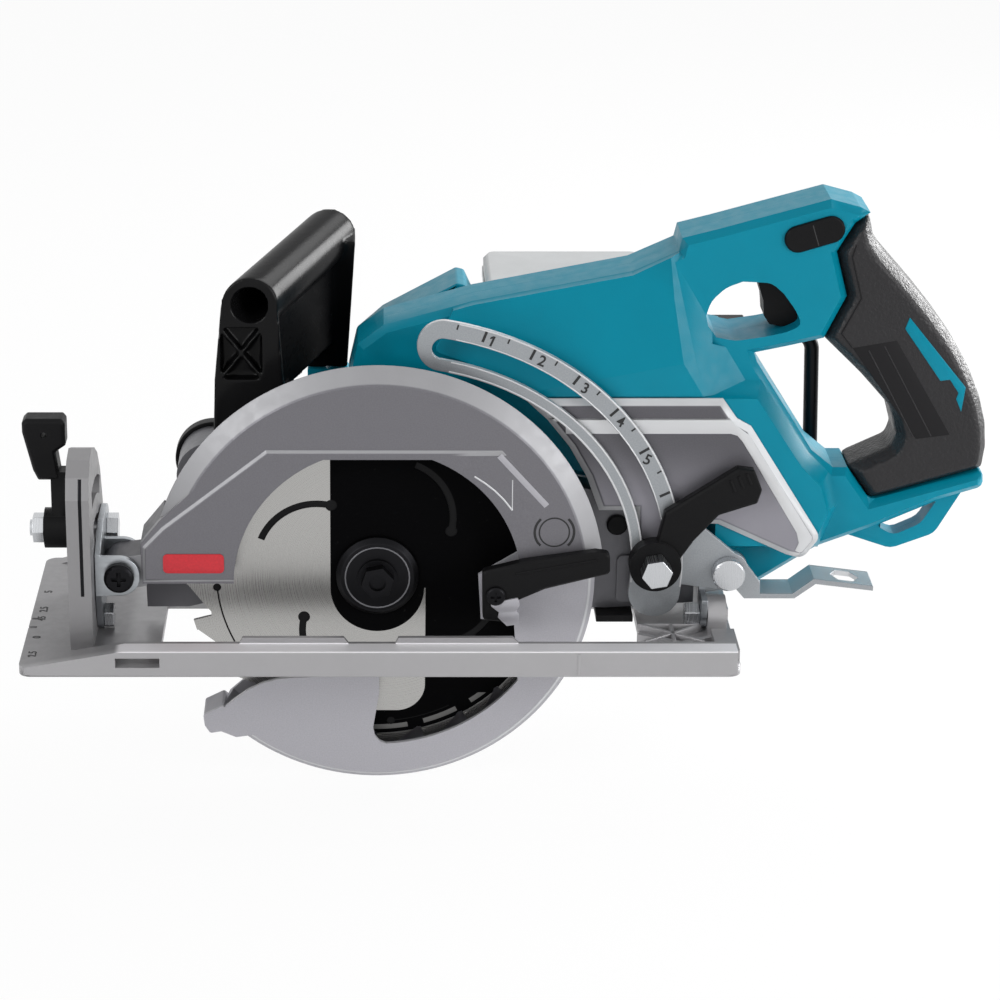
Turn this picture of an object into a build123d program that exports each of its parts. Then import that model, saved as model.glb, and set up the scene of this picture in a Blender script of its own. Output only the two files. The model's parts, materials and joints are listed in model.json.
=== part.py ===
from build123d import *
import os
from math import atan2, cos, degrees, pi, radians, sin, sqrt

os.makedirs("parts", exist_ok=True)

# Cordless rear-handle circular saw, in millimetres.
# +X runs back towards the rear handle, +Y runs from the blade to the motor, +Z is up.
# The origin is on the sole, below the arbor, on the line of the cut.

# Clearances
running_gap = 0.05      # shaft in a hole that it turns in
free_gap = 0.3          # between bodies that pass each other
seat_gap = 0.05         # between a piece and the pocket that it is fixed in

# Blade
blade_diameter = 185.0
blade_thickness = 1.6
blade_kerf = 2.0
blade_bore_r = 8.0
blade_teeth = 24
gullet_depth = 9.0
tooth_tip_length = 7.0
tooth_tip_width = 2.2
arbor_height = 32.5
vent_count = 4
vent_outer_r = 59.0
vent_mid_r = 53.5
vent_inner_r = 42.0
vent_start = 162.0
vent_mid = 141.0
vent_end = 122.0
vent_width = 3.4
vent_eye_r = 2.9
slit_r = 78.0
slit_start = 185.0
slit_span = 22.0
slit_width = 0.8
slit_eye_r = 2.0

# Flanges, blade bolt and spindle
flange_r = 20.0
flange_thickness = 4.5
flange_bevel = 2.5
bolt_shank_r = 4.0
bolt_length = 22.0
bolt_collar_r = 9.5
bolt_collar_height = 1.5
bolt_head_across = 14.0
bolt_head_height = 6.0
bolt_socket_r = 4.0
bolt_socket_depth = 2.0
spindle_shoulder_r = 10.0
spindle_shoulder_length = 3.4
spindle_seat_r = 8.5
spindle_journal_r = 5.0

# Gears and motor
gear_module = 1.0
gear_teeth = 40
pinion_teeth = 9
gear_width = 10.0
gear_tip_height = 0.9
gear_root_depth = 1.4
gear_tip_width = 0.6
gear_root_width = 1.7
pinion_bore_r = 2.0
motor_offset_x = 14.0
motor_shaft_r = 5.0
rotor_r = 20.0
rotor_length = 40.0
air_gap = 0.6
stator_r = 34.9
motor_housing_r = 38.0
motor_housing_wall = 3.0
motor_housing_length = 66.0
end_cover_length = 14.0
end_cover_wall = 3.0
fan_r = 32.0
fan_blades = 14
fan_blade_thickness = 1.6
fan_width = 8.0
bearing_width = 9.0
bearing_outer_r = 16.0
small_bearing_r = 11.0
small_bearing_width = 6.0

# Blade case, the fixed upper guard
case_near_y = -14.0
case_far_y = 13.0
case_wall = 2.6
case_near_r = 109.0
case_far_r = 101.5
case_face_r = 100.0
case_bevel = 5.0
case_window_r = 69.0
case_window_top = 64.0
case_field_height = 1.4
case_lip_height = 46.0
case_front_x = -112.5
case_front_top = 53.0
case_front_bottom = 33.0
case_front_wall_bottom = 11.0
case_front_wall_back_x = -92.0

# Lower guard
guard_near_y = -10.0
guard_far_y = 9.5
guard_near_r = 104.8
guard_far_r = 97.6
guard_wall = 2.2
guard_corner = 3.5
guard_start_angle = 222.0
guard_span = 165.0
guard_lip_r = 86.0
guard_hub_r = 27.0
guard_hub_width = 2.6
boss_r = 22.0
retainer_thickness = 0.9

# Shaft lock
shaft_lock_x = 116.5
shaft_lock_z = 53.0
shaft_lock_r = 5.0
shaft_lock_near_y = 11.0
shaft_lock_length = 10.0
shaft_lock_travel = 2.0

# Guard lever
lever_pad_r = 48.0
lever_face_y = -22.0
lever_back_y = -16.0
guard_screw_r = 2.4
guard_screw_head_r = 4.6

# Depth adjustment
depth_pivot_x = -124.0
depth_pivot_z = 36.0
clamp_x = 134.0
clamp_z = 38.5
link_pin_x = 170.0
link_pin_z = 32.7
link_ratio = 0.61
link_sweep = 36.0
link_steps = 9
link_near_y = 2.0
link_thickness = 3.0
link_width = 25.0
link_lean = 1.5
link_slot_width = 10.5
link_tail_width = 19.0
link_tail_thickness = 2.5
pin_r = 5.0
pin_head_r = 8.0
pin_head_height = 6.0
clamp_bolt_r = 4.0
clamp_head_across = 13.0
clamp_head_height = 10.5
depth_hub_r = 12.5
depth_hub_width = 8.4
depth_pivot_r = 4.0
depth_pivot_head_r = 7.2
depth_pivot_head_height = 4.4
pivot_boss_r = 8.2
front_ear_near_y = -12.6
front_ear_far_y = 13.0
sheet = 3.0

# Base
base_front_x = -170.0
base_rear_x = 172.0
base_near_y = -50.0
base_far_y = 92.0
sole_thickness = 4.5
rail_height = 13.0
rail_width = 12.0
rail_wall_height = 16.0
rail_taper_x = -120.0
far_rim_width = 8.0
rear_rim_width = 11.0
slot_front_x = -104.0
slot_rear_x = 127.0
slot_far_y = 34.0
deck_height = 8.0
rib_width = 2.5
fence_slot_x = -113.5
fence_slot_length = 21.0
fence_slot_height = 4.8
fence_slot_z = 7.0
bevel_axis_z = 11.0
bevel_bolt_r = 4.0
bevel_bolt_head_across = 11.0
bevel_bolt_head_height = 7.0
ear_r = 10.0
ear_front_x = 160.0

# Bevel quadrant and its clamp
quadrant_front_x = -147.0
quadrant_thickness = 11.0
quadrant_near_y = -28.0
quadrant_far_y = 50.0
quadrant_top = 98.5
bevel_clamp_y = 30.0
bevel_clamp_z = 45.0
bevel_range = 45.0
bevel_stud_r = 4.0
bevel_slot_gap = 0.4
quadrant_window_r = 64.0
quadrant_window_width = 9.0
quadrant_window_start = 62.0
quadrant_window_span = 38.0
clamp_arc_spare = 6.5
bevel_hub_r = 10.0
bevel_hub_length = 16.0
bevel_nut_across = 13.0
bevel_nut_length = 5.5
bevel_grip_top = 103.0
bevel_grip_bottom = 71.7
bevel_grip_front_x = -172.4
bevel_grip_length = 21.0
bevel_grip_width = 12.0

# Housing halves and rear handle
body_near_y = 10.0
split_y = 40.0
body_far_y = 60.0
handle_near_y = 22.0
handle_far_y = 58.0
panel_near_y = 6.0
panel_thickness = 3.8
panel_bevel = 3.0
panel_taper = 50.0
lock_x = 206.5
lock_z = 196.5
lock_length = 29.0
lock_height = 13.0
lock_tilt = 17.0
lock_proud = 2.0
trigger_front_x = 175.5
trigger_width = 16.0
trigger_travel = 7.0
trigger_rear_x = 203.0
hook_y = 67.0
hook_z = 134.0
hook_wire_r = 3.6
housing_screw_r = 2.0
housing_screw_head_r = 4.0

# Battery, which stands on end behind the motor
battery_front_x = 54.0
battery_length = 80.0
battery_near_y = 62.6
battery_depth = 66.0
battery_bottom = 43.5
battery_height = 115.0
battery_wall = 3.0
battery_corner = 6.0
terminal_length = 52.0
terminal_height = 58.0
terminal_reach = 6.5
rail_groove = 4.0
cell_r = 10.4
cell_length = 70.0
cell_pitch_z = 20.9
cell_pitch_y = 25.0
cell_rows = 5
button_length = 23.0
button_width = 10.0
button_travel = 3.0
button_height = 5.5

# Front handle
handle_hole_x = -61.0
handle_hole_z = 163.0
front_handle_y = 16.0
handle_run_x = 37.0
handle_run_y = 94.0
handle_run_z = 9.0
handle_bar_r = 13.4
handle_hole_r = 8.7
handle_hole_depth = 40.0
handle_foot_z = 98.0
handle_web_half = 8.0
handle_web_bottom = 112.0
handle_end_length = 9.0
handle_pocket_depth = 6.0
handle_pocket_low = 126.0
handle_pocket_high = 152.0
handle_pocket_half = 10.0
handle_rib = 1.6
handle_screw_r = 3.0
screw_land = 8.0
handle_screw_head_r = 5.0

# Dust nozzle
nozzle_x = -80.0
nozzle_z = 78.0
nozzle_r = 17.0
nozzle_bore_r = 14.5
nozzle_length = 32.0
nozzle_ring_r = 19.0
nozzle_ring_width = 7.0
nozzle_port_r = 11.0

# Worked-out values
blade_r = blade_diameter / 2
blade_half = blade_thickness / 2
pitch_r = gear_module * gear_teeth / 2
pinion_pitch_r = gear_module * pinion_teeth / 2
motor_distance = pitch_r + pinion_pitch_r
motor_x = motor_offset_x
motor_z = arbor_height + sqrt(motor_distance ** 2 - motor_offset_x ** 2)
mesh_angle = degrees(atan2(motor_z - arbor_height, motor_x))
inner_flange_y = blade_half + flange_thickness
outer_flange_y = -blade_half - flange_thickness
boss_near_y = inner_flange_y + 1.3
bearing_near_y = inner_flange_y + spindle_shoulder_length
bearing_far_y = bearing_near_y + bearing_width
gear_near_y = bearing_far_y + 3.0
gear_far_y = gear_near_y + gear_width
gear_wall_y = gear_far_y + 2.0
small_bearing_y = gear_wall_y + 1.0
gearbox_far_y = small_bearing_y + small_bearing_width + 1.0
motor_far_y = gearbox_far_y + motor_housing_length
rotor_near_y = gearbox_far_y + 14.0
rotor_far_y = rotor_near_y + rotor_length
fan_near_y = rotor_far_y + 2.0
end_cover_y = motor_far_y + end_cover_length
panel_far_y = panel_near_y + panel_thickness
link_far_y = link_near_y + link_thickness
depth_hub_far_y = link_near_y - free_gap
depth_hub_near_y = depth_hub_far_y - depth_hub_width
clamp_head_y = depth_hub_near_y - free_gap
quadrant_rear_x = quadrant_front_x + quadrant_thickness
web_front_x = quadrant_rear_x + free_gap
web_rear_x = web_front_x + sheet
bevel_hub_x = quadrant_front_x - free_gap
bevel_radius = sqrt(bevel_clamp_y ** 2 + (bevel_clamp_z - bevel_axis_z) ** 2)
bevel_clamp_angle = degrees(atan2(bevel_clamp_z - bevel_axis_z, bevel_clamp_y))
rail_inner_y = base_near_y + rail_width
leg_rear_x = ear_front_x - free_gap
leg_front_x = leg_rear_x - sheet
battery_rear_x = battery_front_x + battery_length
battery_far_y = battery_near_y + battery_depth
battery_top = battery_bottom + battery_height
battery_mid_x = (battery_front_x + battery_rear_x) / 2
battery_mid_y = (battery_near_y + battery_far_y) / 2
handle_run = Vector(handle_run_x, handle_run_y, handle_run_z)
lock_near_y = handle_near_y - lock_proud
lock_far_y = handle_far_y + lock_proud
shaft_lock_end_y = shaft_lock_near_y + shaft_lock_length
shaft_lock_point = (shaft_lock_x, shaft_lock_z)
arbor = (0, arbor_height)
motor_point = (motor_x, motor_z)
clamp_point = (clamp_x, clamp_z)
link_pin_point = (link_pin_x, link_pin_z)
depth_pivot_point = (depth_pivot_x, depth_pivot_z)
spindle_axis = Axis((0, 0, arbor_height), (0, 1, 0))
motor_axis = Axis((motor_x, 0, motor_z), (0, 1, 0))


def side(y):
    """A plane across the saw at y, seen from the blade side: local x is X and local y is Z."""
    return Plane.XZ.offset(-y)


def front(x):
    """A plane across the saw at x: local x is Y and local y is Z, and it faces the rear."""
    return Plane.YZ.offset(x)


def plan(z):
    """A level plane at z."""
    return Plane.XY.offset(z)


def at_angle(angle):
    """A plane through the arbor's axis, turned to an angle: local x is the radius and local y is Y."""
    a = radians(angle)
    return Plane(origin=(0, 0, arbor_height), x_dir=(cos(a), 0, sin(a)), z_dir=(-sin(a), 0, cos(a)))


def polar(radius, angle):
    """A point at a radius and an angle about the arbor, in a side plane."""
    a = radians(angle)
    return (radius * cos(a), arbor_height + radius * sin(a))


def through(first, second, third):
    """The plane through three points, which faces the side they go round anticlockwise on."""
    start = Vector(*first)
    along = Vector(*second) - start
    return Plane(origin=start, x_dir=along, z_dir=along.cross(Vector(*third) - start))


def turn(point, centre, angle):
    """A side-plane point turned about a centre, anticlockwise in degrees."""
    a = radians(angle)
    dx = point[0] - centre[0]
    dz = point[1] - centre[1]
    return (centre[0] + dx * cos(a) - dz * sin(a), centre[1] + dx * sin(a) + dz * cos(a))


def save(piece, name):
    """Label a finished piece and write its file."""
    piece.label = name
    export_step(piece, f"parts/{name}.step")


# Blade and what clamps it

with BuildPart() as blade:
    with BuildSketch(side(blade_half)):
        with Locations(arbor):
            Circle(blade_r)
            Circle(blade_bore_r, mode=Mode.SUBTRACT)
            with PolarLocations(blade_r, blade_teeth):
                Polygon(
                    (1, 0), (-gullet_depth, 0), (-gullet_depth - 0.5, -2), (-gullet_depth + 1, -5),
                    (-2.4, -18.5), (1, -19), align=None, mode=Mode.SUBTRACT,
                )
        for i in range(vent_count):
            vent_turn = 360 / vent_count * i
            with BuildLine():
                ThreePointArc(
                    polar(vent_outer_r, vent_start + vent_turn), polar(vent_mid_r, vent_mid + vent_turn),
                    polar(vent_inner_r, vent_end + vent_turn),
                )
            trace(line_width=vent_width, mode=Mode.SUBTRACT)
            with Locations(polar(vent_inner_r, vent_end + vent_turn)):
                Circle(vent_eye_r, mode=Mode.SUBTRACT)
            with BuildLine():
                CenterArc(arbor, slit_r, slit_start + vent_turn, slit_span)
            trace(line_width=slit_width, mode=Mode.SUBTRACT)
            with Locations(polar(slit_r, slit_start + vent_turn)):
                Circle(slit_eye_r, mode=Mode.SUBTRACT)
    extrude(amount=blade_thickness)
    with BuildSketch(side(blade_kerf / 2)):
        with Locations(arbor):
            with PolarLocations(blade_r - tooth_tip_length / 2, blade_teeth):
                with Locations((-0.2, tooth_tip_width / 2)):
                    Rectangle(tooth_tip_length, tooth_tip_width)
    extrude(amount=blade_kerf)
save(blade.part, "blade")

with BuildPart() as inner_flange:
    with BuildSketch(side(inner_flange_y)):
        with Locations(arbor):
            Circle(flange_r)
            Circle(blade_bore_r, mode=Mode.SUBTRACT)
    extrude(amount=flange_thickness)
    chamfer(inner_flange.edges().filter_by(GeomType.CIRCLE).group_by(SortBy.RADIUS)[-1].sort_by(Axis.Y)[-1], 1)
save(inner_flange.part, "inner_flange")

with BuildPart() as outer_flange:
    with BuildSketch(side(-blade_half)):
        with Locations(arbor):
            Circle(flange_r)
            Circle(bolt_shank_r + running_gap, mode=Mode.SUBTRACT)
    extrude(amount=flange_thickness)
    chamfer(
        outer_flange.edges().filter_by(GeomType.CIRCLE).group_by(SortBy.RADIUS)[-1].sort_by(Axis.Y)[0],
        flange_bevel,
    )
save(outer_flange.part, "outer_flange")

with BuildPart() as blade_bolt:
    with BuildSketch(side(outer_flange_y)):
        with Locations(arbor):
            Circle(bolt_collar_r)
    extrude(amount=bolt_collar_height)
    with BuildSketch(side(outer_flange_y - bolt_collar_height)):
        with Locations(arbor):
            RegularPolygon(bolt_head_across / 2, 6, major_radius=False, rotation=12)
    extrude(amount=bolt_head_height)
    with BuildSketch(side(outer_flange_y - bolt_collar_height - bolt_head_height + bolt_socket_depth)):
        with Locations(arbor):
            Circle(bolt_socket_r)
    extrude(amount=bolt_socket_depth, mode=Mode.SUBTRACT)
    with BuildSketch(side(outer_flange_y + bolt_length)):
        with Locations(arbor):
            Circle(bolt_shank_r)
    extrude(amount=bolt_length)
save(blade_bolt.part, "blade_bolt")

nose_y = -blade_half + 0.2
spindle_end_y = small_bearing_y + small_bearing_width
bolt_hole_y = outer_flange_y + bolt_length + 1.0
with BuildPart() as spindle:
    with BuildSketch(Plane((0, 0, arbor_height))):
        with BuildLine():
            Polyline(
                (bolt_shank_r + running_gap, nose_y),
                (blade_bore_r - running_gap, nose_y),
                (blade_bore_r - running_gap, inner_flange_y),
                (spindle_shoulder_r, inner_flange_y),
                (spindle_shoulder_r, bearing_near_y),
                (spindle_seat_r, bearing_near_y),
                (spindle_seat_r, gear_far_y),
                (spindle_journal_r, gear_far_y),
                (spindle_journal_r, spindle_end_y),
                (0, spindle_end_y),
                (0, bolt_hole_y),
                (bolt_shank_r + running_gap, bolt_hole_y),
                close=True,
            )
        make_face()
    revolve(axis=spindle_axis)
save(spindle.part, "spindle")


def tooth(root_r, tip_r):
    """Corner points of one straight-sided gear tooth along local x, sunk a little into its wheel."""
    half_root = gear_root_width / 2
    half_tip = gear_tip_width / 2
    return ((root_r - 0.3, -half_root), (tip_r, -half_tip), (tip_r, half_tip), (root_r - 0.3, half_root))


with BuildPart() as drive_gear:
    with BuildSketch(side(gear_far_y)):
        with Locations(arbor):
            Circle(pitch_r - gear_root_depth)
            with PolarLocations(0, gear_teeth, start_angle=mesh_angle):
                Polygon(*tooth(pitch_r - gear_root_depth, pitch_r + gear_tip_height), align=None)
            Circle(spindle_seat_r + seat_gap, mode=Mode.SUBTRACT)
    extrude(amount=gear_width)
save(drive_gear.part, "drive_gear")

# Motor

pinion_start = mesh_angle + 180 + 180 / pinion_teeth
with BuildPart() as pinion:
    with BuildSketch(side(gear_far_y)):
        with Locations(motor_point):
            Circle(pinion_pitch_r - gear_root_depth)
            with PolarLocations(0, pinion_teeth, start_angle=pinion_start):
                Polygon(*tooth(pinion_pitch_r - gear_root_depth, pinion_pitch_r + gear_tip_height), align=None)
            Circle(pinion_bore_r, mode=Mode.SUBTRACT)
    extrude(amount=gear_width)
save(pinion.part, "pinion")

far_bearing_y = motor_far_y + 3.0
shaft_end_y = far_bearing_y + small_bearing_width
with BuildPart() as rotor_shaft:
    with BuildSketch(Plane((motor_x, 0, motor_z))):
        with BuildLine():
            Polyline(
                (0, gear_near_y), (pinion_bore_r - seat_gap, gear_near_y),
                (pinion_bore_r - seat_gap, gear_far_y), (motor_shaft_r, gear_far_y),
                (motor_shaft_r, shaft_end_y), (0, shaft_end_y), close=True,
            )
        make_face()
    revolve(axis=motor_axis)
save(rotor_shaft.part, "rotor_shaft")

with BuildPart() as rotor_core:
    with BuildSketch(side(rotor_far_y)):
        with Locations(motor_point):
            Circle(rotor_r)
            Circle(motor_shaft_r + seat_gap, mode=Mode.SUBTRACT)
    extrude(amount=rotor_length)
save(rotor_core.part, "rotor_core")

with BuildPart() as fan:
    with BuildSketch(side(fan_near_y + 2)):
        with Locations(motor_point):
            Circle(fan_r)
            Circle(motor_shaft_r + seat_gap, mode=Mode.SUBTRACT)
    extrude(amount=2)
    with BuildSketch(side(fan_near_y + fan_width)):
        with Locations(motor_point):
            Circle(motor_shaft_r + 4)
            with PolarLocations((fan_r + motor_shaft_r) / 2 + 1, fan_blades):
                Rectangle(fan_r - motor_shaft_r - 2, fan_blade_thickness, rotation=20)
            Circle(motor_shaft_r + seat_gap, mode=Mode.SUBTRACT)
    extrude(amount=fan_width - 2)
save(fan.part, "fan")

with BuildPart() as stator:
    with BuildSketch(side(rotor_far_y)):
        with Locations(motor_point):
            Circle(stator_r)
            Circle(rotor_r + air_gap, mode=Mode.SUBTRACT)
            with PolarLocations(rotor_r + 6.5, 6):
                Rectangle(9, 4, mode=Mode.SUBTRACT)
    extrude(amount=rotor_length)
save(stator.part, "stator")

with BuildPart() as spindle_bearings:
    with BuildSketch(side(bearing_far_y)):
        with Locations(arbor):
            Circle(bearing_outer_r)
            Circle(spindle_seat_r + running_gap, mode=Mode.SUBTRACT)
    extrude(amount=bearing_width)
    with BuildSketch(side(small_bearing_y + small_bearing_width)):
        with Locations(arbor):
            Circle(small_bearing_r)
            Circle(spindle_journal_r + running_gap, mode=Mode.SUBTRACT)
    extrude(amount=small_bearing_width)
save(spindle_bearings.part, "spindle_bearings")

with BuildPart() as motor_bearings:
    with BuildSketch(side(small_bearing_y + small_bearing_width), side(far_bearing_y + small_bearing_width)):
        with Locations(motor_point):
            Circle(small_bearing_r)
            Circle(motor_shaft_r + running_gap, mode=Mode.SUBTRACT)
    extrude(amount=small_bearing_width)
save(motor_bearings.part, "motor_bearings")

# Gear housing, with the boss that carries the spindle and the lower guard

gearbox_near_y = case_far_y
lobe_far_y = 30.0
lobe_near_y = panel_far_y + 4.0
lug_top = handle_foot_z - 0.2
lug_front_x = -72.0
lug_rear_x = -36.0
lug_far_y = 40.0
handle_screw_x = handle_hole_x + handle_run_x * 0.14
handle_screw_y = front_handle_y + handle_run_y * 0.14
with BuildPart() as gear_housing:
    with BuildSketch(side(gearbox_far_y)):
        with Locations(arbor):
            Circle(26)
        with Locations(motor_point):
            Circle(motor_housing_r)
        Polygon((-26, arbor_height), (26, arbor_height), (motor_x + 38, motor_z), (motor_x - 38, motor_z), align=None)
    extrude(amount=gearbox_far_y - gearbox_near_y)
    with BuildSketch(side(lobe_far_y)):
        Polygon((20, 12), (112, 9), (155, 12), (156, 60), (108, 70), (20, 88), align=None)
    extrude(amount=lobe_far_y - lobe_near_y)
    with BuildSketch(side(lug_far_y)):
        Polygon(
            (lug_front_x, lug_top), (lug_rear_x, lug_top), (-4, 84), (-20, 50), (-50, 60), (-58, 75), align=None,
        )
        with Locations((nozzle_x, nozzle_z)):
            Circle(nozzle_ring_r + 1, mode=Mode.SUBTRACT)
    extrude(amount=lug_far_y - gearbox_near_y)
    with BuildSketch(side(lobe_near_y + 0.1)):
        with Locations((135, 25)):
            RectangleRounded(36, 24, 3)
    extrude(amount=2.2)
    with BuildSketch(side(gearbox_near_y)):
        with Locations(arbor):
            Circle(boss_r)
    extrude(amount=gearbox_near_y - boss_near_y)
    with BuildSketch(side(bearing_far_y + seat_gap)):
        with Locations(arbor):
            Circle(bearing_outer_r + seat_gap)
    extrude(amount=bearing_far_y - boss_near_y + 2, mode=Mode.SUBTRACT)
    with BuildSketch(side(gear_near_y)):
        with Locations(arbor):
            Circle(spindle_seat_r + 2)
    extrude(amount=gear_near_y - bearing_far_y + 1, mode=Mode.SUBTRACT)
    with BuildSketch(side(gear_wall_y)):
        with Locations(arbor):
            Circle(pitch_r + gear_tip_height + 1.2)
        with Locations(motor_point):
            Circle(pinion_pitch_r + gear_tip_height + 2.5)
    extrude(amount=gear_wall_y - gear_near_y + 1, mode=Mode.SUBTRACT)
    with BuildSketch(side(gearbox_far_y)):
        with Locations(motor_point):
            Circle(motor_shaft_r + 2)
    extrude(amount=gearbox_far_y - gear_wall_y + 1, mode=Mode.SUBTRACT)
    with BuildSketch(side(small_bearing_y + small_bearing_width + seat_gap)):
        with Locations(arbor, motor_point):
            Circle(small_bearing_r + seat_gap)
    extrude(amount=small_bearing_width + 1.2, mode=Mode.SUBTRACT)
    with BuildSketch(side(lobe_far_y - 6)):
        with Locations(clamp_point):
            Circle(clamp_bolt_r + seat_gap)
    extrude(amount=lobe_far_y - lobe_near_y, mode=Mode.SUBTRACT)
    with BuildSketch(plan(lug_top - 40)):
        with Locations((handle_screw_x, handle_screw_y)):
            Circle(handle_screw_r + seat_gap)
    extrude(amount=45, mode=Mode.SUBTRACT)
    with BuildSketch(plan(lug_top - 50)):
        with Locations((handle_screw_x, handle_screw_y)):
            Circle(handle_screw_head_r + 0.5)
    extrude(amount=50 - screw_land, mode=Mode.SUBTRACT)
    with BuildSketch(side(shaft_lock_end_y + shaft_lock_travel + 0.5)):
        with Locations(shaft_lock_point):
            Circle(shaft_lock_r + running_gap)
    extrude(amount=shaft_lock_end_y + shaft_lock_travel, mode=Mode.SUBTRACT)
save(gear_housing.part, "gear_housing")

motor_lug_x = handle_hole_x + handle_run_x
motor_lug_top = handle_foot_z + 8.0
motor_lug_near_y = front_handle_y + handle_run_y - 16.0
motor_lug_mid_y = motor_lug_near_y + 6.0
with BuildPart() as motor_housing:
    with BuildSketch(side(motor_far_y)):
        with Locations(motor_point):
            Circle(motor_housing_r)
    extrude(amount=motor_housing_length)
    with BuildSketch(side(motor_far_y)):
        Polygon(
            (motor_lug_x - 11, motor_lug_top), (motor_lug_x + 9, motor_lug_top), (2, 84), (-10, 60),
            (-24, 60), (motor_lug_x - 11, 88), align=None,
        )
    extrude(amount=motor_far_y - motor_lug_near_y)
    with BuildSketch(side(motor_far_y)):
        with Locations(motor_point):
            Circle(motor_housing_r - motor_housing_wall)
    extrude(amount=motor_housing_length, mode=Mode.SUBTRACT)
    with BuildSketch(plan(motor_lug_top - 50)):
        with Locations((motor_lug_x, motor_lug_mid_y)):
            Circle(handle_screw_r + seat_gap)
    extrude(amount=55, mode=Mode.SUBTRACT)
    with BuildSketch(plan(motor_lug_top - 50)):
        with Locations((motor_lug_x, motor_lug_mid_y)):
            Circle(handle_screw_head_r + 0.4)
    extrude(amount=50 - screw_land, mode=Mode.SUBTRACT)
save(motor_housing.part, "motor_housing")

with BuildPart() as motor_end_cover:
    with BuildSketch(side(end_cover_y)):
        with Locations(motor_point):
            Circle(motor_housing_r)
    extrude(amount=end_cover_length)
    chamfer(motor_end_cover.faces().sort_by(Axis.Y)[-1].edges(), 4)
    with BuildSketch(side(end_cover_y - end_cover_wall)):
        with Locations(motor_point):
            Circle(motor_housing_r - motor_housing_wall - 2)
            Circle(small_bearing_r + 3, mode=Mode.SUBTRACT)
    extrude(amount=end_cover_length - end_cover_wall, mode=Mode.SUBTRACT)
    with BuildSketch(side(far_bearing_y + small_bearing_width + seat_gap)):
        with Locations(motor_point):
            Circle(small_bearing_r + seat_gap)
    extrude(amount=end_cover_length, mode=Mode.SUBTRACT)
    with BuildSketch(side(end_cover_y)):
        with Locations(motor_point):
            with PolarLocations((motor_housing_r + small_bearing_r) / 2, 12):
                SlotOverall(13, 4.5, mode=Mode.ADD)
    extrude(amount=end_cover_wall + 1, mode=Mode.SUBTRACT)
save(motor_end_cover.part, "motor_end_cover")

with BuildPart() as bearing_retainer:
    with BuildSketch(side(boss_near_y)):
        with Locations(arbor):
            Circle(boss_r + 2.5)
            Circle(spindle_shoulder_r + 1.5, mode=Mode.SUBTRACT)
    extrude(amount=retainer_thickness)
save(bearing_retainer.part, "bearing_retainer")

with BuildPart() as guard_spring:
    with BuildSketch(side(case_far_y - 0.2)):
        with Locations(arbor):
            Circle(boss_r + 3.6)
            Circle(boss_r + 0.6, mode=Mode.SUBTRACT)
    extrude(amount=case_far_y - 0.2 - guard_far_y - free_gap)
save(guard_spring.part, "guard_spring")

# Where the depth link runs, and how near it comes to the arbor


def link_point(angle):
    """Where the clamp bolt sits in the link, once the base has swung down by an angle."""
    swung = turn(clamp_point, depth_pivot_point, angle)
    return turn(swung, link_pin_point, link_ratio * angle)



def link_edge(angle, out):
    """A point at a distance outside the path of the clamp bolt in the link."""
    here = link_point(angle)
    ahead = link_point(angle + 0.1)
    run_x = ahead[0] - here[0]
    run_z = ahead[1] - here[1]
    run = sqrt(run_x ** 2 + run_z ** 2)
    return (here[0] + out * run_z / run, here[1] - out * run_x / run)


strip_points = [link_edge(-4 + (link_sweep + 4) * i / link_steps, link_lean) for i in range(link_steps + 1)]
slot_points = [link_point(-1.5 + (link_sweep + 1.5) * i / link_steps) for i in range(link_steps + 1)]


def link_reach(share, swing):
    """How far from the arbor a point on the link's middle line is, with the base swung down by an angle."""
    along = link_edge(-4 + (link_sweep + 4) * share, link_lean)
    leaned = turn(along, link_pin_point, -link_ratio * swing)
    placed = turn(leaned, depth_pivot_point, -swing)
    return sqrt(placed[0] ** 2 + (placed[1] - arbor_height) ** 2)


link_clear_r = min(link_reach(i / 40, a) for i in range(41) for a in range(31)) - link_width / 2 - free_gap

# Blade case

case_right_angle = 6.6
case_left_angle = 163.0
window_half = sqrt(case_window_r ** 2 - case_window_top ** 2)
window_z = arbor_height + case_window_top
case_back_wall_y = case_far_y - case_wall
pivot_boss_near_y = front_ear_near_y + sheet + free_gap
pivot_boss_far_y = front_ear_far_y - free_gap
with BuildPart() as case_field:
    with BuildSketch(side(case_near_y)):
        Polygon(
            (case_front_x, case_front_bottom + 1), (case_front_x, case_front_top - 1), (-103, 62), (-53, 101),
            (59, 101), (84, 73), (case_window_r + 6, case_lip_height), (40, case_front_bottom + 1), align=None,
        )
    extrude(amount=case_field_height, taper=50)
    with BuildSketch(plan(case_front_bottom - 5)):
        Polygon(
            (30, case_near_y - case_field_height), (82, case_near_y), (130, case_near_y), (130, case_near_y - 9),
            (30, case_near_y - 9), align=None,
        )
    extrude(amount=90, mode=Mode.SUBTRACT)
    with BuildSketch(side(case_near_y)):
        with BuildLine():
            Line((-window_half, window_z), (window_half, window_z))
            ThreePointArc((window_half, window_z), (0, arbor_height - case_window_r), (-window_half, window_z))
        make_face()
    extrude(amount=case_field_height + 1, mode=Mode.SUBTRACT)

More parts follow.
